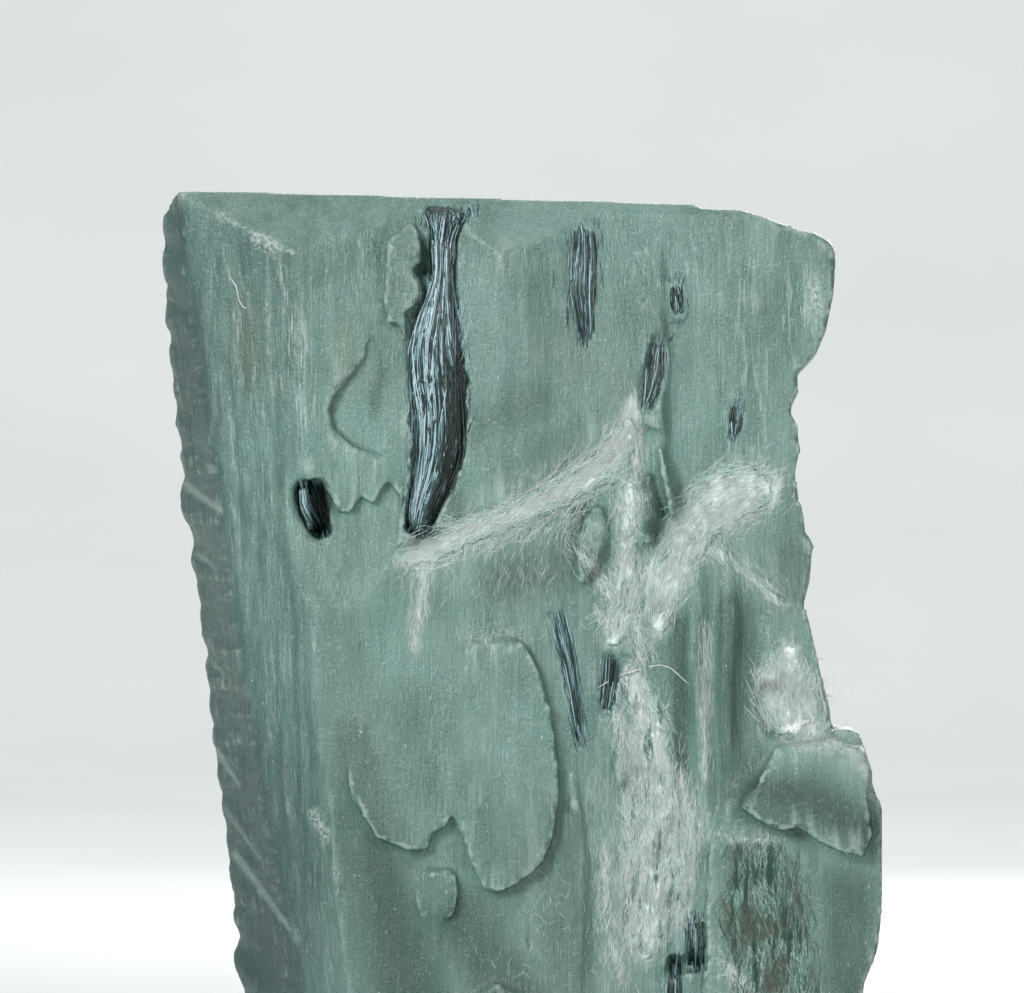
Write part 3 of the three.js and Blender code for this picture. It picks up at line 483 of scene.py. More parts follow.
# Each bundle or felt: its stations as x, z and half width.
BUNDLES = {
    "main_bundle": [
        (-4.5, 60.7, 1.15), (-4.55, 60.1, 0.85), (-4.7, 58.9, 0.55), (-4.7, 56.8, 0.45),
        (-4.9, 54.6, 0.9), (-5.1, 52.6, 1.3), (-5.0, 50.6, 1.45), (-4.9, 48.6, 1.3),
        (-4.9, 46.6, 1.25), (-5.3, 44.6, 1.05), (-5.9, 42.8, 0.75), (-6.2, 41.7, 0.45)],
    "top_needles": [
        (3.8, 59.6, 0.45), (3.8, 58.0, 0.62), (3.7, 55.9, 0.6), (3.8, 54.2, 0.42),
        (3.9, 53.0, 0.22)],
    "small_needle": [(9.3, 56.2, 0.2), (9.35, 55.4, 0.28), (9.4, 54.6, 0.2)],
    "middle_blade": [
        (8.3, 52.8, 0.22), (8.05, 51.2, 0.4), (7.8, 50.0, 0.36), (7.55, 49.2, 0.24)],
    "left_tuft": [
        (-12.7, 44.2, 0.55), (-12.6, 43.3, 0.6), (-12.3, 42.3, 0.5), (-12.0, 41.5, 0.28)],
    "right_sliver": [(13.0, 49.0, 0.2), (12.9, 48.2, 0.25), (12.8, 47.3, 0.18)],
    "lower_blade": [
        (2.3, 36.4, 0.34), (2.6, 35.0, 0.42), (3.0, 33.4, 0.3), (3.3, 31.2, 0.2),
        (3.6, 28.9, 0.15)],
    "centre_needle": [
        (5.45, 33.8, 0.26), (5.4, 32.8, 0.3), (5.25, 31.6, 0.24), (5.1, 30.8, 0.14)],
    "low_needles": [(10.4, 18.0, 0.4), (10.5, 16.8, 0.46), (10.5, 15.4, 0.36)],
    "low_vein": [
        (9.3, 15.6, 0.24), (9.2, 14.0, 0.36), (9.1, 12.0, 0.4), (8.9, 9.8, 0.24)],
    "felt_arc": [
        (-7.0, 39.8, 0.3), (-6.1, 40.2, 0.55), (-4.3, 40.9, 0.5), (-1.9, 41.9, 0.5),
        (0.3, 42.8, 0.55), (2.0, 43.6, 0.6), (3.6, 44.5, 0.75), (4.9, 45.4, 0.85),
        (5.8, 46.4, 0.7), (6.3, 47.4, 0.45), (6.5, 48.1, 0.2)],
    "felt_spine": [
        (6.55, 44.4, 0.15), (6.5, 43.2, 0.3), (6.4, 41.5, 0.3), (6.4, 39.7, 0.28),
        (6.3, 37.9, 0.36), (6.1, 36.5, 0.45), (5.75, 35.5, 0.4), (5.5, 34.9, 0.2)],
    "felt_fan": [
        (8.2, 35.7, 0.3), (8.5, 37.0, 0.6), (9.0, 38.6, 0.8), (9.6, 40.2, 0.85),
        (10.5, 41.9, 1.1), (11.6, 43.1, 1.4), (12.8, 43.8, 1.45), (13.9, 44.1, 1.1),
        (14.7, 44.1, 0.45)],
    "felt_column": [
        (6.6, 33.2, 0.25), (7.0, 31.5, 0.6), (7.6, 29.4, 0.8), (8.0, 27.2, 0.95),
        (8.2, 24.8, 1.3), (8.2, 22.4, 1.65), (8.1, 20.3, 1.7), (7.8, 18.6, 1.3),
        (7.5, 17.0, 0.7), (7.3, 16.1, 0.3)],
    "felt_patch": [
        (16.1, 34.3, 0.3), (15.9, 33.1, 1.0), (15.8, 31.8, 1.6), (16.3, 30.6, 1.55),
        (16.6, 29.9, 1.2)],
    "felt_corner": [
        (14.3, 22.9, 0.8), (14.3, 21.6, 1.7), (14.5, 19.9, 2.1), (14.8, 18.0, 2.2),
        (15.1, 16.2, 2.2), (15.3, 14.0, 2.1), (15.3, 11.4, 2.0), (15.1, 8.8, 1.5),
        (14.9, 7.0, 0.6)],
}

# How strands lie in each kind: lengths and radii in millimetres, angles in degrees, and how often they cover it.
NEEDLES = {"length": (2.0, 9.0), "radius": (0.018, 0.055), "angle": 3, "bow": 3, "cover": 6.5, "overhang": 0.03,
           "stand": 0.05, "stops": 9}
FELT = {"length": (0.8, 2.8), "radius": (0.008, 0.018), "angle": 20, "bow": 24, "cover": 2.6, "overhang": 0.45,
        "stand": 0.05, "stops": 5}

# Felts whose tone, stain or grain differs from the rest.
PAD_SHADES = {"felt_corner": -0.95, "felt_patch": 1.1, "felt_column": 0.7}
STAINS = {"felt_corner": 0.95, "felt_column": 0.35}
UPRIGHT_FELTS = ("felt_corner", "felt_column", "felt_spine")


def along_bundle(stations, share):
    """Place, half width, direction and length of a bundle at shares of its length."""
    table = np.array(stations)
    steps = np.linalg.norm(np.diff(table[:, :2], axis=0), axis=1)
    reach = np.concatenate([[0], np.cumsum(steps)])
    at = np.clip(share, 0, 1) * reach[-1]
    x, z, half = (np.interp(at, reach, table[:, i]) for i in range(3))
    step = 0.02 * reach[-1]
    run_x = np.interp(at + step, reach, table[:, 0]) - np.interp(at - step, reach, table[:, 0])
    run_z = np.interp(at + step, reach, table[:, 1]) - np.interp(at - step, reach, table[:, 1])
    return x, z, half, np.arctan2(run_z, run_x), reach[-1]


def tubes(lines, radii):
    """Corners and faces of closed three-sided tubes along lines of places in millimetres."""
    along = np.gradient(lines, axis=1)
    along /= np.linalg.norm(along, axis=2, keepdims=True)
    across = np.cross(along, (0.02, 1.0, 0.03))
    across /= np.linalg.norm(across, axis=2, keepdims=True)
    outward = np.cross(along, across)
    turns = np.arange(TUBE_SIDES) * math.tau / TUBE_SIDES + math.pi / 6
    ring = (np.cos(turns)[:, None] * across[:, :, None, :] + np.sin(turns)[:, None] * outward[:, :, None, :])
    corners = lines[:, :, None, :] + radii[:, :, None, None] * ring
    index = np.arange(corners[..., 0].size).reshape(corners.shape[:3])
    here, after = index[:, :-1], index[:, 1:]
    walls = np.stack([here, np.roll(here, -1, 2), np.roll(after, -1, 2), after], axis=-1).reshape(-1, 4)
    ends = np.concatenate([index[:, 0, ::-1], index[:, -1]])
    return corners.reshape(-1, 3), walls, ends


def strand_piece(name, lines, radii, tones_and_painted_light):
    """One joined mesh of strands, each with its own tone, which on needles also holds painted highlight or shade."""
    corners, walls, ends = tubes(lines, radii)
    mesh = bpy.data.meshes.new(name)
    mesh.from_pydata((corners * MM).tolist(), [], walls.tolist() + ends.tolist())
    piece = bpy.data.objects.new(name, mesh)
    bpy.context.collection.objects.link(piece)
    write_mask(piece, "shade", np.repeat(tones_and_painted_light, radii.shape[1] * TUBE_SIDES))
    choose_only(piece)
    bpy.ops.object.shade_smooth()
    return piece


def surface_seeker(pieces):
    """A function that gives the foremost surface's y at places x, z."""
    corners, faces, first = [], [], 0
    for piece in pieces:
        points = points_of(piece)
        corners += points.tolist()
        faces += [[first + i for i in face.vertices] for face in piece.data.polygons]
        first += len(points)
    tree = BVHTree.FromPolygons(corners, faces)

    def front_at(x, z):
        found = []
        for px, pz in zip(x.ravel().tolist(), z.ravel().tolist()):
            hit = tree.ray_cast((px, -25.0, pz), (0, 1, 0))[0]
            found.append(hit.y if hit else -10.0)
        return np.array(found).reshape(x.shape)

    return front_at


def bundle_lines(name, stations, way, front_at, seed):
    """Centre lines, radii and tones of the strands of one bundle or felt; on needles the tone also holds painted
    highlight, and on the main bundle's right side painted shade.
    """
    rng = np.random.default_rng(seed)
    shares = np.linspace(0, 1, BUNDLE_SAMPLES)
    _, _, half, _, total = along_bundle(stations, shares)
    mean_length = sum(way["length"]) / 2
    mean_width = sum(way["radius"])
    count = int(way["cover"] * 2 * half.mean() * total / (min(mean_length, 0.6 * total) * mean_width))
    weight = half / half.sum()
    length = np.minimum(rng.uniform(*way["length"], count), 0.6 * total)
    margin = 0.5 * length / total
    share = np.clip(rng.choice(shares, count, p=weight), margin, 1 - margin)
    x, z, half, heading, _ = along_bundle(stations, share)
    side = rng.uniform(-1, 1, count) * half + rng.normal(0, way["overhang"], count)
    turn = heading + np.radians(rng.normal(0, way["angle"], count))
    bow = np.radians(rng.normal(0, way["bow"], count))
    step = np.linspace(-0.5, 0.5, way["stops"])
    angle = turn[:, None] + bow[:, None] * step
    run = length[:, None] / (way["stops"] - 1)
    walk_x = np.cumsum(np.cos(angle) * run, axis=1)
    walk_z = np.cumsum(np.sin(angle) * run, axis=1)
    middle = way["stops"] // 2
    lines_x = (x - np.sin(heading) * side)[:, None] + walk_x - walk_x[:, [middle]]
    lines_z = (z + np.cos(heading) * side)[:, None] + walk_z - walk_z[:, [middle]]
    if way is NEEDLES:
        shares_on = share[:, None] + length[:, None] / total * step
        on_x, on_z, on_half, on_heading, _ = along_bundle(stations, shares_on)
        place = rng.uniform(-1, 0.1 if name == "left_tuft" else 1, count)
        side = (place[:, None] + rng.normal(0, 0.2, count)[:, None] * step) * (1.12 * on_half + 0.08)
        lines_x, lines_z = on_x - np.sin(on_heading) * side, on_z + np.cos(on_heading) * side
    surface = front_at(lines_x, lines_z)
    if way is NEEDLES:
        line = surface[:, [0]] + (surface[:, [-1]] - surface[:, [0]]) * (step + 0.5)
        surface = surface + 0.8 * (np.minimum(line, surface) - surface)
    lift = rng.uniform(-0.4, 1, count)[:, None] * way["stand"]
    lift = lift * (1 + 1.5 * np.abs(step) * rng.uniform(0, 1, count)[:, None])
    lines = np.stack([lines_x, surface - lift, lines_z], axis=-1)
    taper = np.clip(1.15 - np.abs(2 * step) ** 3, 0.12, 1)
    radii = rng.uniform(*way["radius"], count)[:, None] * taper
    # A tone for each strand; on needles its pale end is painted highlight.
    tones_and_painted_light = rng.uniform(0, 1, count) ** 1.2
    if name == "main_bundle":
        # Painted shade: strands on the main bundle's right side, below about z 52, are darkened as if shaded by the
        # slot's wall.
        tones_and_painted_light *= 1 - 0.8 * rise(place, 0.0, 0.5) * rise(-z, -54, -50)
    elif way is NEEDLES and name != "left_tuft":
        tones_and_painted_light *= 0.62
    return lines, radii, tones_and_painted_light


def felt_cover(points, margin):
    """1 over the whitish felts and a smooth ramp to 0 within the margin round them."""
    cover = np.zeros(len(points))
    for name, stations in BUNDLES.items():
        if name.startswith("felt") and name != "felt_corner":
            _, offset, half = beside_bundle(points, stations)
            cover = np.maximum(cover, rise(half + margin - np.abs(offset), 0, margin))
    return cover * rise(-points[:, 1], 6, 8)


def beside_bundle(points, stations):
    """For each point the nearest sample of the bundle's line, the distance from it and the half width there."""
    x, z, half, heading, _ = along_bundle(stations, np.linspace(0, 1, BUNDLE_SAMPLES))
    gap_x, gap_z = points[:, [0]] - x, points[:, [2]] - z
    gap = gap_x ** 2 + gap_z ** 2
    near = gap.argmin(axis=1)
    rows = np.arange(len(points))
    side = -np.sin(heading[near]) * gap_x[rows, near] + np.cos(heading[near]) * gap_z[rows, near]
    return near, np.sqrt(gap[rows, near]) * np.where(side < 0, -1, 1), half[near]


def face_beside(stations, front_at):
    """The adularia's face on either side of a bundle: its y along the left and along the right."""
    x, z, half, heading, _ = along_bundle(stations, np.linspace(0, 1, BUNDLE_SAMPLES))
    reach, ends = half + FACE_REACH, []
    for side in (1, -1):
        found = front_at(x - side * np.sin(heading) * reach, z + side * np.cos(heading) * reach)
        ends.append(np.convolve(np.pad(found, 4, mode="edge"), np.ones(9) / 9, mode="valid"))
    return ends


def face_level(points, stations, front_at):
    """The y that the adularia's face would have under a bundle if it had no slot there."""
    near, offset, half = beside_bundle(points, stations)
    left, right = face_beside(stations, front_at)
    share = np.clip(0.5 + 0.5 * offset / (half + FACE_REACH), 0, 1)
    return right[near] * (1 - share) + left[near] * share


def slot_plug(name, stations, front_at):
    """Adularia that closes a slot under its fibres: the CAD solid swollen into the walls and cut off at the face."""
    plug = copy_of("byssolite_" + name, name + "_plug")
    apply(plug, "REMESH", mode="VOXEL", voxel_size=PAD_VOXEL * MM)
    points, normals = points_of(plug), normals_of(plug)
    swollen = points + normals * PLUG_SWELL
    sink = -0.02 if name.startswith("felt") else 0.6 if name == "main_bundle" else 0.08
    swollen[:, 1] = np.maximum(swollen[:, 1], face_level(points, stations, front_at) + sink)
    move_points(plug, swollen)
    return plug


def felt_pad(name, stations, body_front, face_front):
    """A thin matted layer over the adularia with a soft, uneven border."""
    pad = copy_of("byssolite_" + name, name)
    apply(pad, "REMESH", mode="VOXEL", voxel_size=PAD_VOXEL * MM)
    points, normals = points_of(pad), normals_of(pad)
    ragged = swirl(points, (0.9, 0.9, 1.1), octaves=4)
    sideways = np.clip(1.3 - 1.5 * np.abs(normals[:, 1]), 0, 1)
    points = points + normals * (sideways * (0.28 + 0.5 * ragged))[:, None]
    level = body_front(points[:, 0], points[:, 2])
    proud = points[:, 1] - face_level(points, stations, face_front)
    front = level + np.clip(0.3 * proud, -0.1, 0.1) + 0.04 + 0.14 * ragged
    points[:, 1] = np.where(normals[:, 1] < 0.2, front, np.maximum(points[:, 1], level + 0.2))
    move_points(pad, points)
    return pad


def needle_core(name, wide, body_front):
    """The dark core of a bundle, grooved along its length; a small one is flush with the adularia."""
    core = copy_of("byssolite_" + name, name)
    apply(core, "REMESH", mode="VOXEL", voxel_size=PAD_VOXEL * MM)
    points, normals = points_of(core), normals_of(core)
    points = points + normals * (wide + 0.08 * swirl(points, (0.4, 0.4, 3.0), octaves=4))[:, None]
    if name == "left_tuft":
        points[:, 0] = LEFT_TUFT_EDGE + 0.5 * (points[:, 0] - LEFT_TUFT_EDGE)
    elif name != "main_bundle":
        level = body_front(points[:, 0], points[:, 2])
        points[:, 1] = np.where(normals[:, 1] < 0.3, np.maximum(points[:, 1], level - 0.03), points[:, 1])
    move_points(core, points)
    return core


def crystal_relief(points, normals):
    """How far each point moves out: gentle swells, upright striations and the left face's shingles."""
    upright = np.clip(1 - 1.5 * np.abs(normals[:, 2]), 0, 1)
    swells = 0.10 * swirl(points, (7, 7, 11))
    striations = 0.055 * swirl(points, (0.75, 0.75, 10), octaves=3, seed=5) * upright
    ridge = 1 - 0.85 * rise(points[:, 2], RIDGE_LEVEL, 61.2)
    shingled = rise(-points[:, 0], 10, 13) * rise(-normals[:, 0], 0.7, 0.95) * rise(59 - points[:, 2], 0, 2)
    shingles = 0.09 * shingled * rise(swirl(points, (6, 6, 1.1), octaves=3, seed=8), -0.35, 0.35)
    return (swells + striations + shingles) * rise(points[:, 2], 0.3, 1.6) * ridge


def adularia_body(plugs):
    """The whole adularia: the CAD solid, its slots closed under the fibres, with worn edges and natural relief."""
    body = copy_of("adularia_crystal", "adularia_body")
    choose_only(body)
    for plug in plugs:
        plug.select_set(True)
    bpy.ops.object.join()
    apply(body, "REMESH", mode="VOXEL", voxel_size=CRYSTAL_VOXEL * MM)
    points = points_of(body)
    felted = felt_cover(points, 0.9)
    left_edge = rise(-points[:, 0], 11, 15) * rise(58.5 - points[:, 2], 0, 2) * rise(-points[:, 1], -9, -4)
    relax(body, np.full(len(points), 0.5), 3)
    relax(body, np.maximum(felted, 0.8 * left_edge), 24)
    relax(body, np.max([stroke(points, path) for path in GROWN_IN], axis=0), 36)
    points, normals = points_of(body), normals_of(body)
    edges = rise(sharpness(body), 0.6, 2.2)
    chips = 0.2 * edges * swirl(points, (0.8, 0.8, 0.8), octaves=4, seed=2)
    chips = chips * (1 - 0.85 * rise(points[:, 2], RIDGE_LEVEL, 60.8)) * rise(points[:, 2], 0.5, 2)
    move_points(body, points + normals * (crystal_relief(points, normals) + chips)[:, None])
    apply(body, "DECIMATE", ratio=CRYSTAL_TRIANGLES / triangles_of(body))
    choose_only(body)
    bpy.ops.object.shade_smooth()
    points, normals = points_of(body), normals_of(body)
    for name, strokes in STROKES.items():
        mask, depth = np.zeros(len(points)), LEDGE_DEPTH if name == "ledges" else FRONT_DEPTH
        for strength, path in strokes:
            mask = np.maximum(mask, strength * stroke(points, path, depth))
        write_mask(body, name, mask)
    write_mask(body, "felted", felt_cover(points, 0.7) * rise(-points[:, 1], 8, 10))
    bend = sharpness(body)
    # Painted highlight, kept where edges stand out.
    write_mask(body, "rim", rise(bend, 0.7, 2.6))
    # Painted shade, kept where the surface is concave.
    write_mask(body, "cleft", rise(-bend, 1.0, 4.0))
    # Painted shade on the faces turned to the left, stronger towards the front and the bottom.
    turned_left = rise(-normals[:, 0], 0.3, 0.75) * rise(-points[:, 0], 10, 14)
    turned_left = turned_left * (0.3 + 0.7 * rise(-points[:, 1], -4, 5))
    write_mask(body, "slate", turned_left * (0.65 + 0.3 * rise(-points[:, 2], -45, -10)))
    body.data.materials.append(adularia_finish())
    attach(body, "root")
    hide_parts("adularia_crystal")
    return body


def byssolite_pieces(body, face_front):
    """Every bundle and felt: a core with its strands on it, joined in one mesh."""
    felt, needle = felt_finish(), needle_finish()
    body_front = surface_seeker([body])
    pads = {}
    for name, stations in BUNDLES.items():
        if name.startswith("felt"):
            pads[name] = felt_pad(name, stations, body_front, face_front)
        else:
            pads[name] = needle_core(name, 0.35 if name == "main_bundle" else 0.02, body_front)
        choose_only(pads[name])
        bpy.ops.object.shade_smooth()
        shade = PAD_SHADES.get(name, 0.45 if name.startswith("felt") else 0.1)
        write_mask(pads[name], "shade", np.full(len(pads[name].data.vertices), shade))
        if name.startswith("felt"):
            points = points_of(pads[name])
            _, offset, half = beside_bundle(points, stations)
            border = np.abs(offset) / (half + 0.25) + 0.35 * swirl(points, (1.1, 1.1, 1.4), octaves=4, seed=6)
            low, high = (0.15, 0.7) if name == "felt_arc" else (0.35, 0.9)
            write_mask(pads[name], "fade", rise(border, low, high))
    front_at = surface_seeker([body, *pads.values()])
    for number, (name, stations) in enumerate(BUNDLES.items()):
        is_felt = name.startswith("felt")
        lines, radii, tones_and_painted_light = bundle_lines(name, stations, FELT if is_felt else NEEDLES, front_at, 100 + number)
        if name == "felt_corner":
            tones_and_painted_light = 0.8 * tones_and_painted_light - 0.75
        strands = strand_piece(name + "_strands", lines, radii, tones_and_painted_light)
        piece = pads[name]
        choose_only(piece)
        strands.select_set(True)
        bpy.ops.object.join()
        if not is_felt:
            rng = np.random.default_rng(200 + number)
            drifts = BUNDLE_EDGES if name == "main_bundle" else needle_drifts(stations)
            lines, radii = drift_lines(rng, drifts, front_at, (0.014, 0.034), 0.0)
            # Tones of the loose needles, whose pale end is painted highlight.
            loose = strand_piece(name + "_loose", lines, radii, rng.uniform(0, 0.75, len(lines)))
            choose_only(piece)
            loose.select_set(True)
            bpy.ops.object.join()
        if is_felt:
            points = points_of(piece)
            spots = rise(swirl(points, (1.6, 1.6, 2.4), seed=3), -0.1, 0.35)
            write_mask(piece, "stain", STAINS.get(name, 0.1) * spots)
            write_mask(piece, "upright", np.full(len(points), float(name in UPRIGHT_FELTS)))
        piece.data.materials.append(felt if is_felt else needle)
        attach(piece, "root")
        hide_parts("byssolite_" + name)
    return front_at, felt


# Loose hairs and haze

# Drifts of loose fibres over the front: a path of x, z and reach, how dense they lie, their heading in degrees and
# its spread, and the longest strand.
DRIFTS = [
    ([(-7.2, 39.9, 0.5), (-5.2, 39.8, 0.7)], 120, 40, 40, 0.9),
    ([(-5.6, 40.6, 0.5), (-1.0, 42.3, 0.6), (2.0, 43.8, 0.8), (5.2, 45.8, 0.9)], 60, 62, 26, 1.1),
    ([(5.2, 46.0, 0.7), (6.2, 47.6, 0.5), (6.7, 49.4, 0.3)], 90, 86, 12, 1.6),
    ([(-4.6, 39.6, 0.9), (-1.6, 40.6, 1.2), (1.6, 41.6, 1.4), (4.2, 43.2, 1.4)], 20, 66, 18, 1.6),
    ([(-4.6, 38.2, 1.2), (-1.2, 38.4, 1.8), (1.8, 39.4, 1.6)], 5, 76, 20, 1.4),
    ([(-5.9, 39.6, 0.5), (-6.0, 37.4, 0.5), (-6.5, 34.4, 0.3)], 90, 88, 10, 1.2),
    ([(3.2, 40.6, 0.9), (4.6, 39.0, 0.7), (5.4, 37.4, 0.5)], 70, 118, 18, 1.3),
    ([(4.4, 37.0, 0.8), (5.4, 35.4, 0.5)], 60, 60, 40, 0.8),
    ([(6.9, 44.8, 0.5), (7.0, 47.0, 0.4), (6.8, 49.6, 0.25)], 80, 90, 10, 2.0),
    ([(-3.4, 34.9, 0.7), (-1.2, 35.6, 0.5), (0.8, 34.8, 0.5)], 30, 75, 40, 0.6),
    ([(6.4, 39.6, 0.6), (6.6, 37.0, 0.7), (7.2, 34.6, 0.7), (7.0, 32.4, 0.7)], 70, 100, 22, 1.6),
    ([(8.0, 40.0, 0.8), (7.6, 37.6, 0.8)], 60, 75, 22, 1.6),
    ([(5.6, 30.6, 0.6), (6.4, 27.6, 0.7), (6.6, 24.0, 0.8), (6.4, 20.0, 0.9), (6.6, 16.6, 0.7)], 60, 92, 16, 2.0),
    ([(9.6, 27.0, 0.8), (10.2, 23.2, 0.9), (9.9, 20.0, 0.9), (9.4, 17.6, 0.8)], 60, 82, 18, 2.0),
    ([(5.0, 22.6, 0.6), (5.2, 17.6, 0.8), (6.2, 14.2, 0.9)], 40, 88, 24, 1.2),
    ([(14.2, 45.4, 1.0), (15.4, 44.6, 0.8), (15.2, 43.0, 0.7)], 70, 48, 26, 1.5),
    ([(12.2, 42.2, 1.1), (14.0, 42.6, 0.9)], 60, 40, 30, 1.2),
    ([(11.4, 40.6, 0.8), (12.6, 39.6, 0.8), (14.4, 38.4, 0.7), (15.6, 37.0, 0.5)], 40, 128, 18, 1.4),
    ([(14.4, 32.2, 0.6), (15.0, 33.4, 0.5)], 130, 80, 30, 0.7),
    ([(15.6, 33.8, 0.7), (16.6, 32.2, 1.1), (17.4, 30.6, 1.3), (17.6, 29.4, 1.1)], 150, 82, 22, 1.1),
    ([(11.0, 36.0, 0.4), (11.1, 31.0, 0.35), (11.0, 26.6, 0.4)], 50, 90, 8, 1.8),
    ([(12.4, 23.0, 0.7), (15.0, 22.8, 1.2)], 30, 70, 40, 1.0),
    ([(12.4, 15.4, 0.9), (14.0, 13.6, 1.2), (15.6, 12.8, 1.2)], 60, 80, 35, 1.0),
    ([(-1.0, 26.0, 3.0), (0.0, 30.0, 2.6)], 2.5, 80, 40, 0.7),
    ([(2.0, 20.0, 2.2), (0.0, 15.0, 2.8)], 5, 80, 40, 0.8),
]
# Loose needles along the main bundle: where it spreads under the ridge, down its right and left and at its foot.
BUNDLE_EDGES = [
    ([(-6.0, 60.3, 0.35), (-4.4, 60.5, 0.3), (-2.6, 60.8, 0.2)], 90, 90, 8, 1.2),
    ([(-3.9, 55.0, 0.2), (-3.5, 52.0, 0.3), (-3.5, 48.5, 0.35), (-4.0, 46.0, 0.4), (-4.8, 43.6, 0.4)],
     110, 82, 8, 2.4),
    ([(-5.4, 56.5, 0.2), (-6.3, 52.6, 0.3), (-6.5, 49.5, 0.3), (-6.4, 45.5, 0.3), (-6.7, 42.5, 0.35)],
     90, 89, 6, 2.4),
    ([(-6.6, 42.4, 0.5), (-5.7, 41.4, 0.6)], 130, 76, 14, 1.4),
]
SINGLE_HAIRS = [
    [(-17.6, 56.9), (-17.1, 56.2), (-16.95, 55.4), (-16.7, 54.95), (-16.45, 54.9)],
    [(4.3, 31.9), (5.8, 32.8), (8.2, 33.5), (9.0, 33.3), (10.2, 32.2)],
]


def drift_lines(rng, drifts, front_at, radius, clear):
    """Centre lines and radii of the loose fibres in drifts over the front."""
    all_lines, all_radii, step = [], [], np.linspace(-0.5, 0.5, 4)
    for path, density, heading, spread, longest in drifts:
        table = np.array(path)
        reach = np.concatenate([[0], np.cumsum(np.linalg.norm(np.diff(table[:, :2], axis=0), axis=1))])
        count = int(0.6 * density * 2 * table[:, 2].mean() * (reach[-1] + table[:, 2].mean()))
        at = rng.uniform(0, reach[-1], count)
        x, z, wide = (np.interp(at, reach, table[:, i]) for i in range(3))
        off = wide * rng.normal(0, 0.75, count)
        bearing = rng.uniform(0, math.tau, count)
        angle = np.radians(rng.normal(heading, spread, count))[:, None] + rng.normal(0, 0.25, count)[:, None] * step
        run = rng.uniform(0.3, longest, count)[:, None] * step
        lines_x = (x + off * np.cos(bearing))[:, None] + run * np.cos(angle)
        lines_z = (z + off * np.sin(bearing))[:, None] + run * np.sin(angle)
        all_lines.append(np.stack([lines_x, front_at(lines_x, lines_z) - clear, lines_z], axis=-1))
        all_radii.append(rng.uniform(*radius, count)[:, None] * np.array([0.3, 1, 1, 0.3]))
    return np.concatenate(all_lines), np.concatenate(all_radii)


def needle_drifts(stations):
    """Drifts of loose needles along and beyond a small bundle."""
    (ax, az, _), (bx, bz, _) = stations[-1], stations[0]
    heading = math.degrees(math.atan2(bz - az, bx - ax))
    return [([(x, z, half + 0.12) for x, z, half in stations], 70, heading, 4, 2.6)]


def haze_strands(front_at, felt):
    """Thin loose fibres that lie on the adularia round the felts."""
    rng = np.random.default_rng(41)
    lines, radii = drift_lines(rng, DRIFTS, front_at, (0.006, 0.012), 0.01)
    piece = strand_piece("fibre_haze", lines, radii, rng.uniform(0.2, 1, len(lines)))
    write_mask(piece, "stain", np.zeros(len(piece.data.vertices)))
    piece.data.materials.append(felt)
    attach(piece, "root")


def single_hairs(front_at, felt):
    """Two long hairs that stand alone on the front."""
    share, lines = np.linspace(0, 1, 14), []
    for path in SINGLE_HAIRS:
        table = np.array(path)
        knots = np.linspace(0, 1, len(path))
        x, z = np.interp(share, knots, table[:, 0]), np.interp(share, knots, table[:, 1])
        lines.append(np.stack([x, front_at(x, z) - 0.05, z], axis=-1))
    radii = np.tile(0.03 * np.clip(1.2 - np.abs(2 * share - 1) ** 4, 0.2, 1), (len(lines), 1))
    piece = strand_piece("single_hairs", np.array(lines), radii, np.full(len(lines), 1.0))
    write_mask(piece, "stain", np.zeros(len(piece.data.vertices)))
    piece.data.materials.append(felt)
    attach(piece, "root")


# Studio

def sweep():
    """A pale floor that curves up into a backdrop."""
    bpy.ops.object.select_all(action="DESELECT")
    bpy.ops.mesh.primitive_plane_add(size=2.4, location=(0, 0.1, 0))
    floor = bpy.context.active_object
    floor.name = "sweep"
    bpy.ops.object.transform_apply()
    bpy.ops.object.mode_set(mode="EDIT")
    bpy.ops.mesh.select_mode(type="EDGE")
    bpy.ops.mesh.select_all(action="DESELECT")
    bpy.ops.object.mode_set(mode="OBJECT")
    for edge in floor.data.edges:
        edge.select = all(floor.data.vertices[i].co.y > 1.2 for i in edge.vertices)
    bpy.ops.object.mode_set(mode="EDIT")
    bpy.ops.mesh.extrude_region_move(TRANSFORM_OT_translate={"value": (0, 0, 1.6)})
    bpy.ops.object.mode_set(mode="OBJECT")
    for edge in floor.data.edges:
        ends = [floor.data.vertices[i].co for i in edge.vertices]
        edge.select = all(p.y > 1.2 and p.z < 0.01 for p in ends)
    bpy.ops.object.mode_set(mode="EDIT")
    bpy.ops.mesh.bevel(offset=0.5, segments=16, affect="EDGES")
    bpy.ops.object.mode_set(mode="OBJECT")
    bpy.ops.object.shade_smooth()
    f = Finish("sweep_paper")
    speckle = f.noise(f.stretch(f.place(), (0.02, 0.02, 0.02)), detail=3)
    floor.data.materials.append(f.surface(Base_Color=f.mix(speckle, "#aeb2b1", "#b7bbba"), Roughness=0.9))


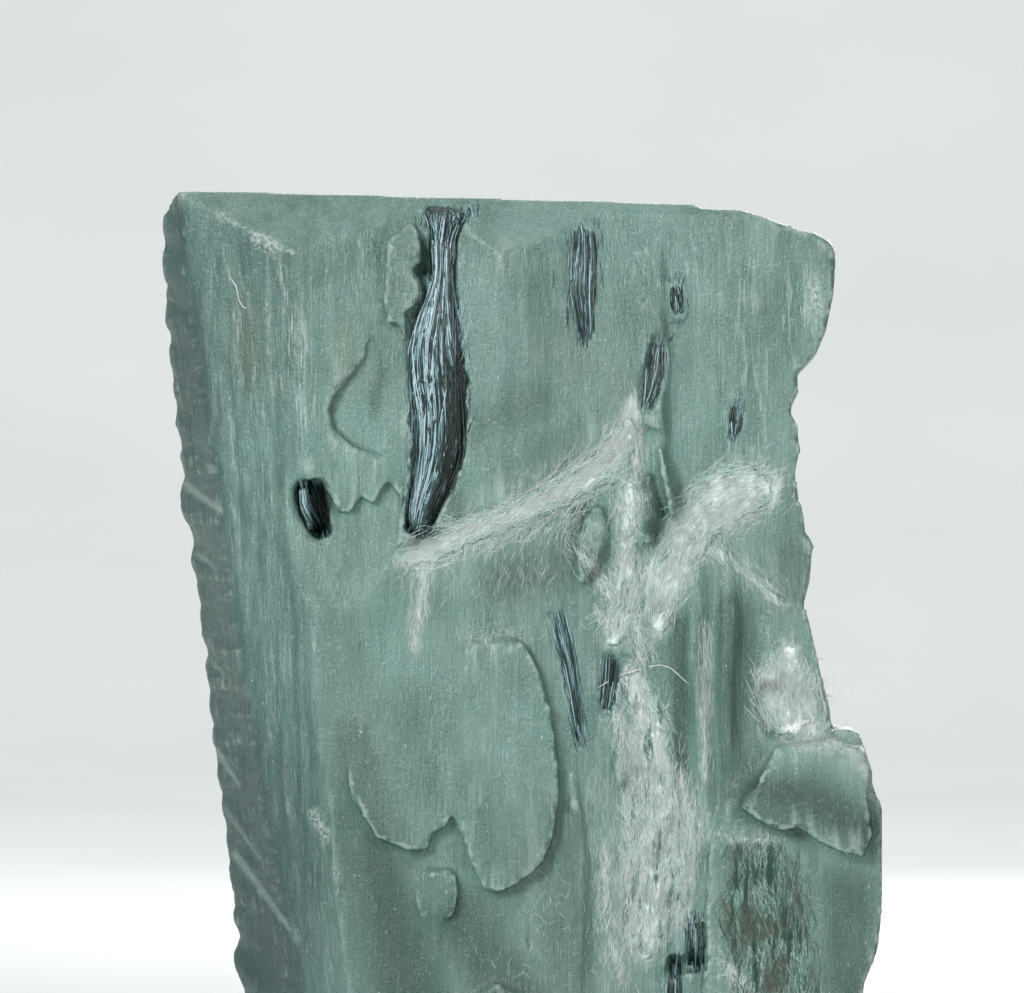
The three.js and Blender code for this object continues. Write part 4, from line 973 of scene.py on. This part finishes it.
def lamp(name, place, target, size, power):
    """A soft square lamp; places in millimetres, power in watts."""
    data = bpy.data.lights.new(name, "AREA")
    data.size, data.energy = size * MM, power
    lamp_object = bpy.data.objects.new(name, data)
    bpy.context.collection.objects.link(lamp_object)
    start, end = np.array(place) * MM, np.array(target) * MM
    lamp_object.location = start
    away = start - end
    lamp_object.rotation_euler = (math.atan2(math.hypot(away[0], away[1]), away[2]), 0,
                                  math.atan2(away[1], away[0]) + math.pi / 2)


def studio():
    """Pale sweep, soft lamps and the camera at the photograph's angle."""
    sweep()
    lamp("key", (-260, -420, 260), (0, 0, 35), 160, 2.45)
    lamp("fill", (380, -420, 90), (0, 0, 30), 300, 1.05)
    lamp("crown", (40, 60, 420), (0, 0, 40), 260, 0.5)
    lamp("rear", (160, 420, 240), (0, 0, 35), 260, 1.6)
    lamp("backdrop", (0, 500, 700), (0, 1300, 200), 700, 12.0)
    world = bpy.data.worlds.new("studio")
    world.use_nodes = True
    world.node_tree.nodes["Background"].inputs["Color"].default_value = (0.86, 0.9, 0.9, 1)
    world.node_tree.nodes["Background"].inputs["Strength"].default_value = 0.12
    bpy.context.scene.world = world
    bpy.context.scene.view_settings.view_transform = "Standard"
    bpy.context.scene.cycles.max_bounces = 3
    bpy.context.scene.cycles.diffuse_bounces = 1
    bpy.context.scene.cycles.glossy_bounces = 1
    bpy.context.scene.cycles.caustics_reflective = False
    bpy.context.scene.cycles.transmission_bounces = 3
    camera = bpy.data.objects.new("camera", bpy.data.cameras.new("camera"))
    camera.data.sensor_width = SENSOR
    camera.data.lens = SENSOR * VIEW_DISTANCE / VIEW_WIDTH
    camera.data.clip_start = 0.02
    camera.location = (VIEW_CENTRE[0] * MM, (FRONT_PLANE - VIEW_DISTANCE) * MM, VIEW_CENTRE[1] * MM)
    camera.rotation_euler = (math.pi / 2, 0, 0)
    bpy.context.collection.objects.link(camera)
    bpy.context.scene.camera = camera


studio()
face_of_cad = surface_seeker([copy_of("adularia_crystal", "face_probe")])
adularia = adularia_body([slot_plug(name, stations, face_of_cad) for name, stations in BUNDLES.items()
                          if name != "left_tuft"])
bpy.data.objects.remove(bpy.data.objects["face_probe"])
seek_front, felt_material = byssolite_pieces(adularia, face_of_cad)
haze_strands(seek_front, felt_material)
single_hairs(seek_front, felt_material)
